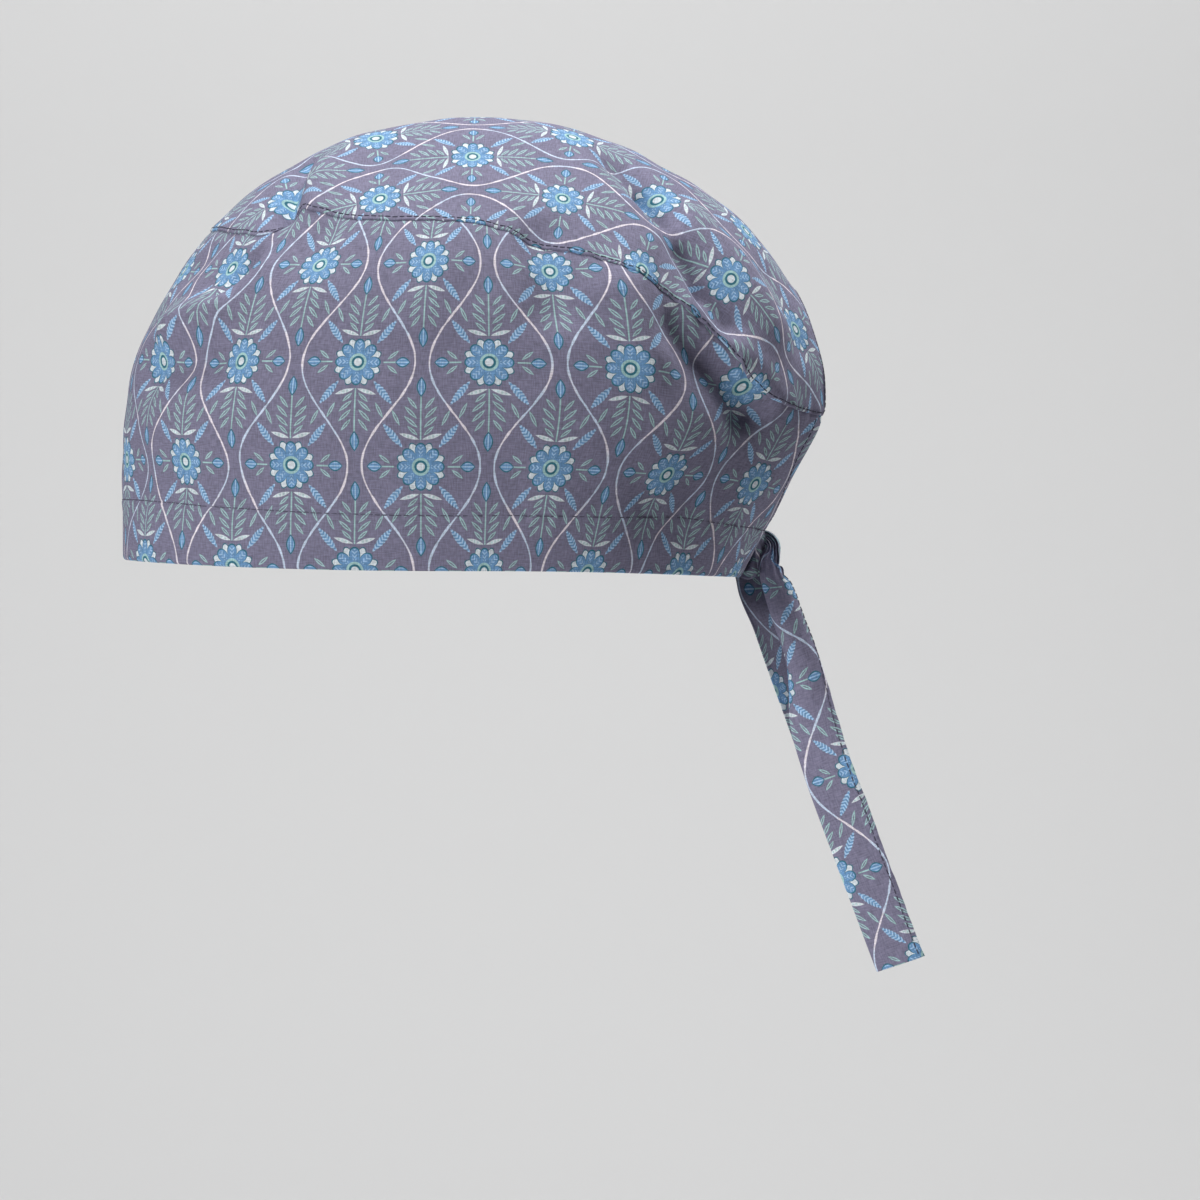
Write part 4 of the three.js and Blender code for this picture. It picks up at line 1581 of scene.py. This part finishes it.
@dataclass
class Stitching:
    """Rows of dashes of thread along sewn lines."""

    pitch: float = 2.2 * MM
    dash: float = 1.5 * MM
    thread: float = 0.17 * MM
    thread_sides: int = 6

    def tree(self, material: bpy.types.Material) -> bpy.types.NodeTree:
        """Make the node group that lays dashes along a curve.

        Args:
            material: the thread's material.

        Returns:
            The group.
        """
        group = bpy.data.node_groups.new("stitch_row", "GeometryNodeTree")
        face = group.interface
        face.new_socket("Geometry", in_out="INPUT", socket_type="NodeSocketGeometry")
        for label in ("Pitch", "Dash", "Thread"):
            face.new_socket(label, in_out="INPUT", socket_type="NodeSocketFloat")
        face.new_socket("Geometry", in_out="OUTPUT", socket_type="NodeSocketGeometry")
        nodes, links = group.nodes, group.links
        start = nodes.new("NodeGroupInput")
        points = nodes.new("GeometryNodeCurveToPoints")
        points.mode = "LENGTH"
        links.new(start.outputs["Geometry"], points.inputs["Curve"])
        links.new(start.outputs["Pitch"], points.inputs["Length"])
        rod = nodes.new("GeometryNodeMeshCylinder")
        rod.inputs["Vertices"].default_value = self.thread_sides
        links.new(start.outputs["Thread"], rod.inputs["Radius"])
        links.new(start.outputs["Dash"], rod.inputs["Depth"])
        align = nodes.new("FunctionNodeAlignRotationToVector")
        align.axis = "Z"
        links.new(points.outputs["Tangent"], align.inputs["Vector"])
        place = nodes.new("GeometryNodeInstanceOnPoints")
        links.new(points.outputs["Points"], place.inputs["Points"])
        links.new(rod.outputs["Mesh"], place.inputs["Instance"])
        links.new(align.outputs["Rotation"], place.inputs["Rotation"])
        real = nodes.new("GeometryNodeRealizeInstances")
        links.new(place.outputs["Instances"], real.inputs["Geometry"])
        finish = nodes.new("GeometryNodeSetMaterial")
        finish.inputs["Material"].default_value = material
        links.new(real.outputs["Geometry"], finish.inputs["Geometry"])
        end = nodes.new("NodeGroupOutput")
        links.new(finish.outputs["Geometry"], end.inputs["Geometry"])
        return group

    def sew(self, name: str, paths: list[np.ndarray], closed: bool,
            material: bpy.types.Material) -> bpy.types.Object:
        """Sew dashes along paths.

        Args:
            name: the stitches' name.
            paths: the lines' points.
            closed: whether the lines run round.
            material: the thread's material.

        Returns:
            The stitches as one plain mesh.
        """
        curve = bpy.data.curves.new(name + "_line", "CURVE")
        curve.dimensions = "3D"
        for path in paths:
            spline = curve.splines.new("POLY")
            spline.points.add(len(path) - 1)
            spline.points.foreach_set("co", np.c_[path, np.ones(len(path))].ravel())
            spline.use_cyclic_u = closed
        line = bpy.data.objects.new(name + "_line", curve)
        bpy.context.scene.collection.objects.link(line)
        group = self.tree(material)
        modifier = line.modifiers.new("stitches", "NODES")
        modifier.node_group = group
        inputs = {item.name: item.identifier for item in group.interface.items_tree
                  if item.in_out == "INPUT"}
        modifier[inputs["Pitch"]] = self.pitch
        modifier[inputs["Dash"]] = self.dash
        modifier[inputs["Thread"]] = self.thread
        graph = bpy.context.evaluated_depsgraph_get()
        mesh = bpy.data.meshes.new_from_object(line.evaluated_get(graph))
        mesh.name = name
        bpy.data.objects.remove(line)
        return add_object(name, mesh)


@dataclass(frozen=True)
class Lamp:
    """A square soft light, its side in metres and its power in watts."""

    name: str
    place: Place
    size: float
    power: float
    target: Place = (0.0, 0.0, 0.05)


LAMPS = (
    Lamp("top_light", (0.2, -0.1, 0.97), 0.5, 5.2),
    Lamp("front_light", (-0.97, -1.06, 0.34), 0.45, 13.8),
    Lamp("back_light", (1.15, 0.45, 0.8), 0.5, 7.0),
    Lamp("backdrop_light", (0.0, 0.3, 1.9), 1.6, 48.0, (0.0, 2.1, 0.9)),
)


@dataclass
class Studio:
    """The floor, the backdrop, the lights and the camera."""

    aim: Place = (46.65 * MM, 0.0, -9.7 * MM)
    distance: float = 1.6
    elevation: float = 0.9
    view_width: float = 373.2 * MM
    sensor: float = 36.0
    far_clip: float = 20.0
    floor_level: float = -0.42
    floor_front: float = -2.6
    floor_half_width: float = 3.5
    backdrop_distance: float = 1.4
    backdrop_height: float = 3.2
    sweep_radius: float = 0.7
    sweep_steps: int = 12
    air_colour: Colour = (0.78, 0.85, 1.0)
    air_strength: float = 0.02

    def build(self) -> None:
        """Build the studio."""
        self.add_sweep()
        self.add_camera()
        for lamp in LAMPS:
            self.add_light(lamp)
        world = bpy.data.worlds.new("studio_air")
        bpy.context.scene.world = world
        world.use_nodes = True
        air = world.node_tree.nodes["Background"]
        air.inputs["Color"].default_value = (*self.air_colour, 1.0)
        air.inputs["Strength"].default_value = self.air_strength

    def add_sweep(self) -> None:
        """Add the pale floor that curves up into the backdrop."""
        radius, half = self.sweep_radius, self.floor_half_width
        points = [(self.floor_front, 0.0), (self.backdrop_distance, 0.0)]
        for step in range(1, self.sweep_steps + 1):
            angle = math.pi / 2 * step / self.sweep_steps
            points.append((self.backdrop_distance + radius * math.sin(angle),
                           radius - radius * math.cos(angle)))
        points.append((self.backdrop_distance + radius, self.backdrop_height))
        verts = [(x, y, self.floor_level + z) for y, z in points for x in (-half, half)]
        faces = [(2 * i, 2 * i + 1, 2 * i + 3, 2 * i + 2) for i in range(len(points) - 1)]
        mesh = bpy.data.meshes.new("studio_sweep")
        mesh.from_pydata(verts, [], faces)
        mesh.polygons.foreach_set("use_smooth", [True] * len(faces))
        sweep = add_object("studio_sweep", mesh)
        mesh.materials.append(PlainFinish("studio_paper", (0.70, 0.70, 0.70), 0.9, 0.0).make())

    def add_camera(self) -> None:
        """Add the long-lens camera, which looks at the wearer's left side."""
        data = bpy.data.cameras.new("camera")
        data.sensor_width = self.sensor
        data.lens = self.sensor * self.distance / self.view_width
        data.clip_end = self.far_clip
        camera = bpy.data.objects.new("camera", data)
        bpy.context.scene.collection.objects.link(camera)
        tilt = math.radians(self.elevation)
        aim = Vector(self.aim)
        camera.location = aim + Vector((0, -math.cos(tilt), math.sin(tilt))) * self.distance
        camera.rotation_euler = (aim - camera.location).to_track_quat("-Z", "Y").to_euler()
        bpy.context.scene.camera = camera

    def add_light(self, lamp: Lamp) -> None:
        """Add a soft light.

        Args:
            lamp: the lamp's size, power, place and target.
        """
        data = bpy.data.lights.new(lamp.name, "AREA")
        data.size = lamp.size
        data.energy = lamp.power
        light = bpy.data.objects.new(lamp.name, data)
        bpy.context.scene.collection.objects.link(light)
        light.location = lamp.place
        look = Vector(lamp.target) - Vector(lamp.place)
        light.rotation_euler = look.to_track_quat("-Z", "Y").to_euler()


def dress_piece(piece: bpy.types.Object, material: bpy.types.Material) -> None:
    """Give a piece its material, body and slot.

    Args:
        piece: the piece.
        material: its only material.
    """
    piece.data.materials.clear()
    piece.data.materials.append(material)
    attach(piece, "root")
    LOG.info("%s: %d faces", piece.name, len(piece.data.polygons))


def main() -> None:
    """Build the cap and its studio."""
    logging.basicConfig(level=logging.INFO, format="%(name)s: %(message)s")
    bpy.context.scene.view_settings.view_transform = "Standard"
    Studio().build()
    form = HeadForm()
    crown, band = Crown(form), SideBand(form)
    crown_cloth, band_cloth = crown.build(), band.build()
    crown.dress(crown_cloth)
    band.dress(band_cloth)
    ties = (Tie(form, "tie_left", 1), Tie(form, "tie_right", -1))
    for tie in ties:
        tie.dress(tie.build(), band_cloth)
    thread = PlainFinish("thread", linear(62, 62, 78), 0.7).make()
    pale_thread = PlainFinish("pale_thread", linear(92, 90, 108), 0.7).make()
    sewing = Stitching()
    crown.sew(sewing, thread)
    band.sew(sewing, pale_thread, thread)
    tie_lines = [tie.stitch_path() for tie in ties]
    tie_stitches = sewing.sew("tie_stitches", tie_lines, False, pale_thread)
    dress_piece(tie_stitches, pale_thread)


if __name__ == "__main__":
    main()
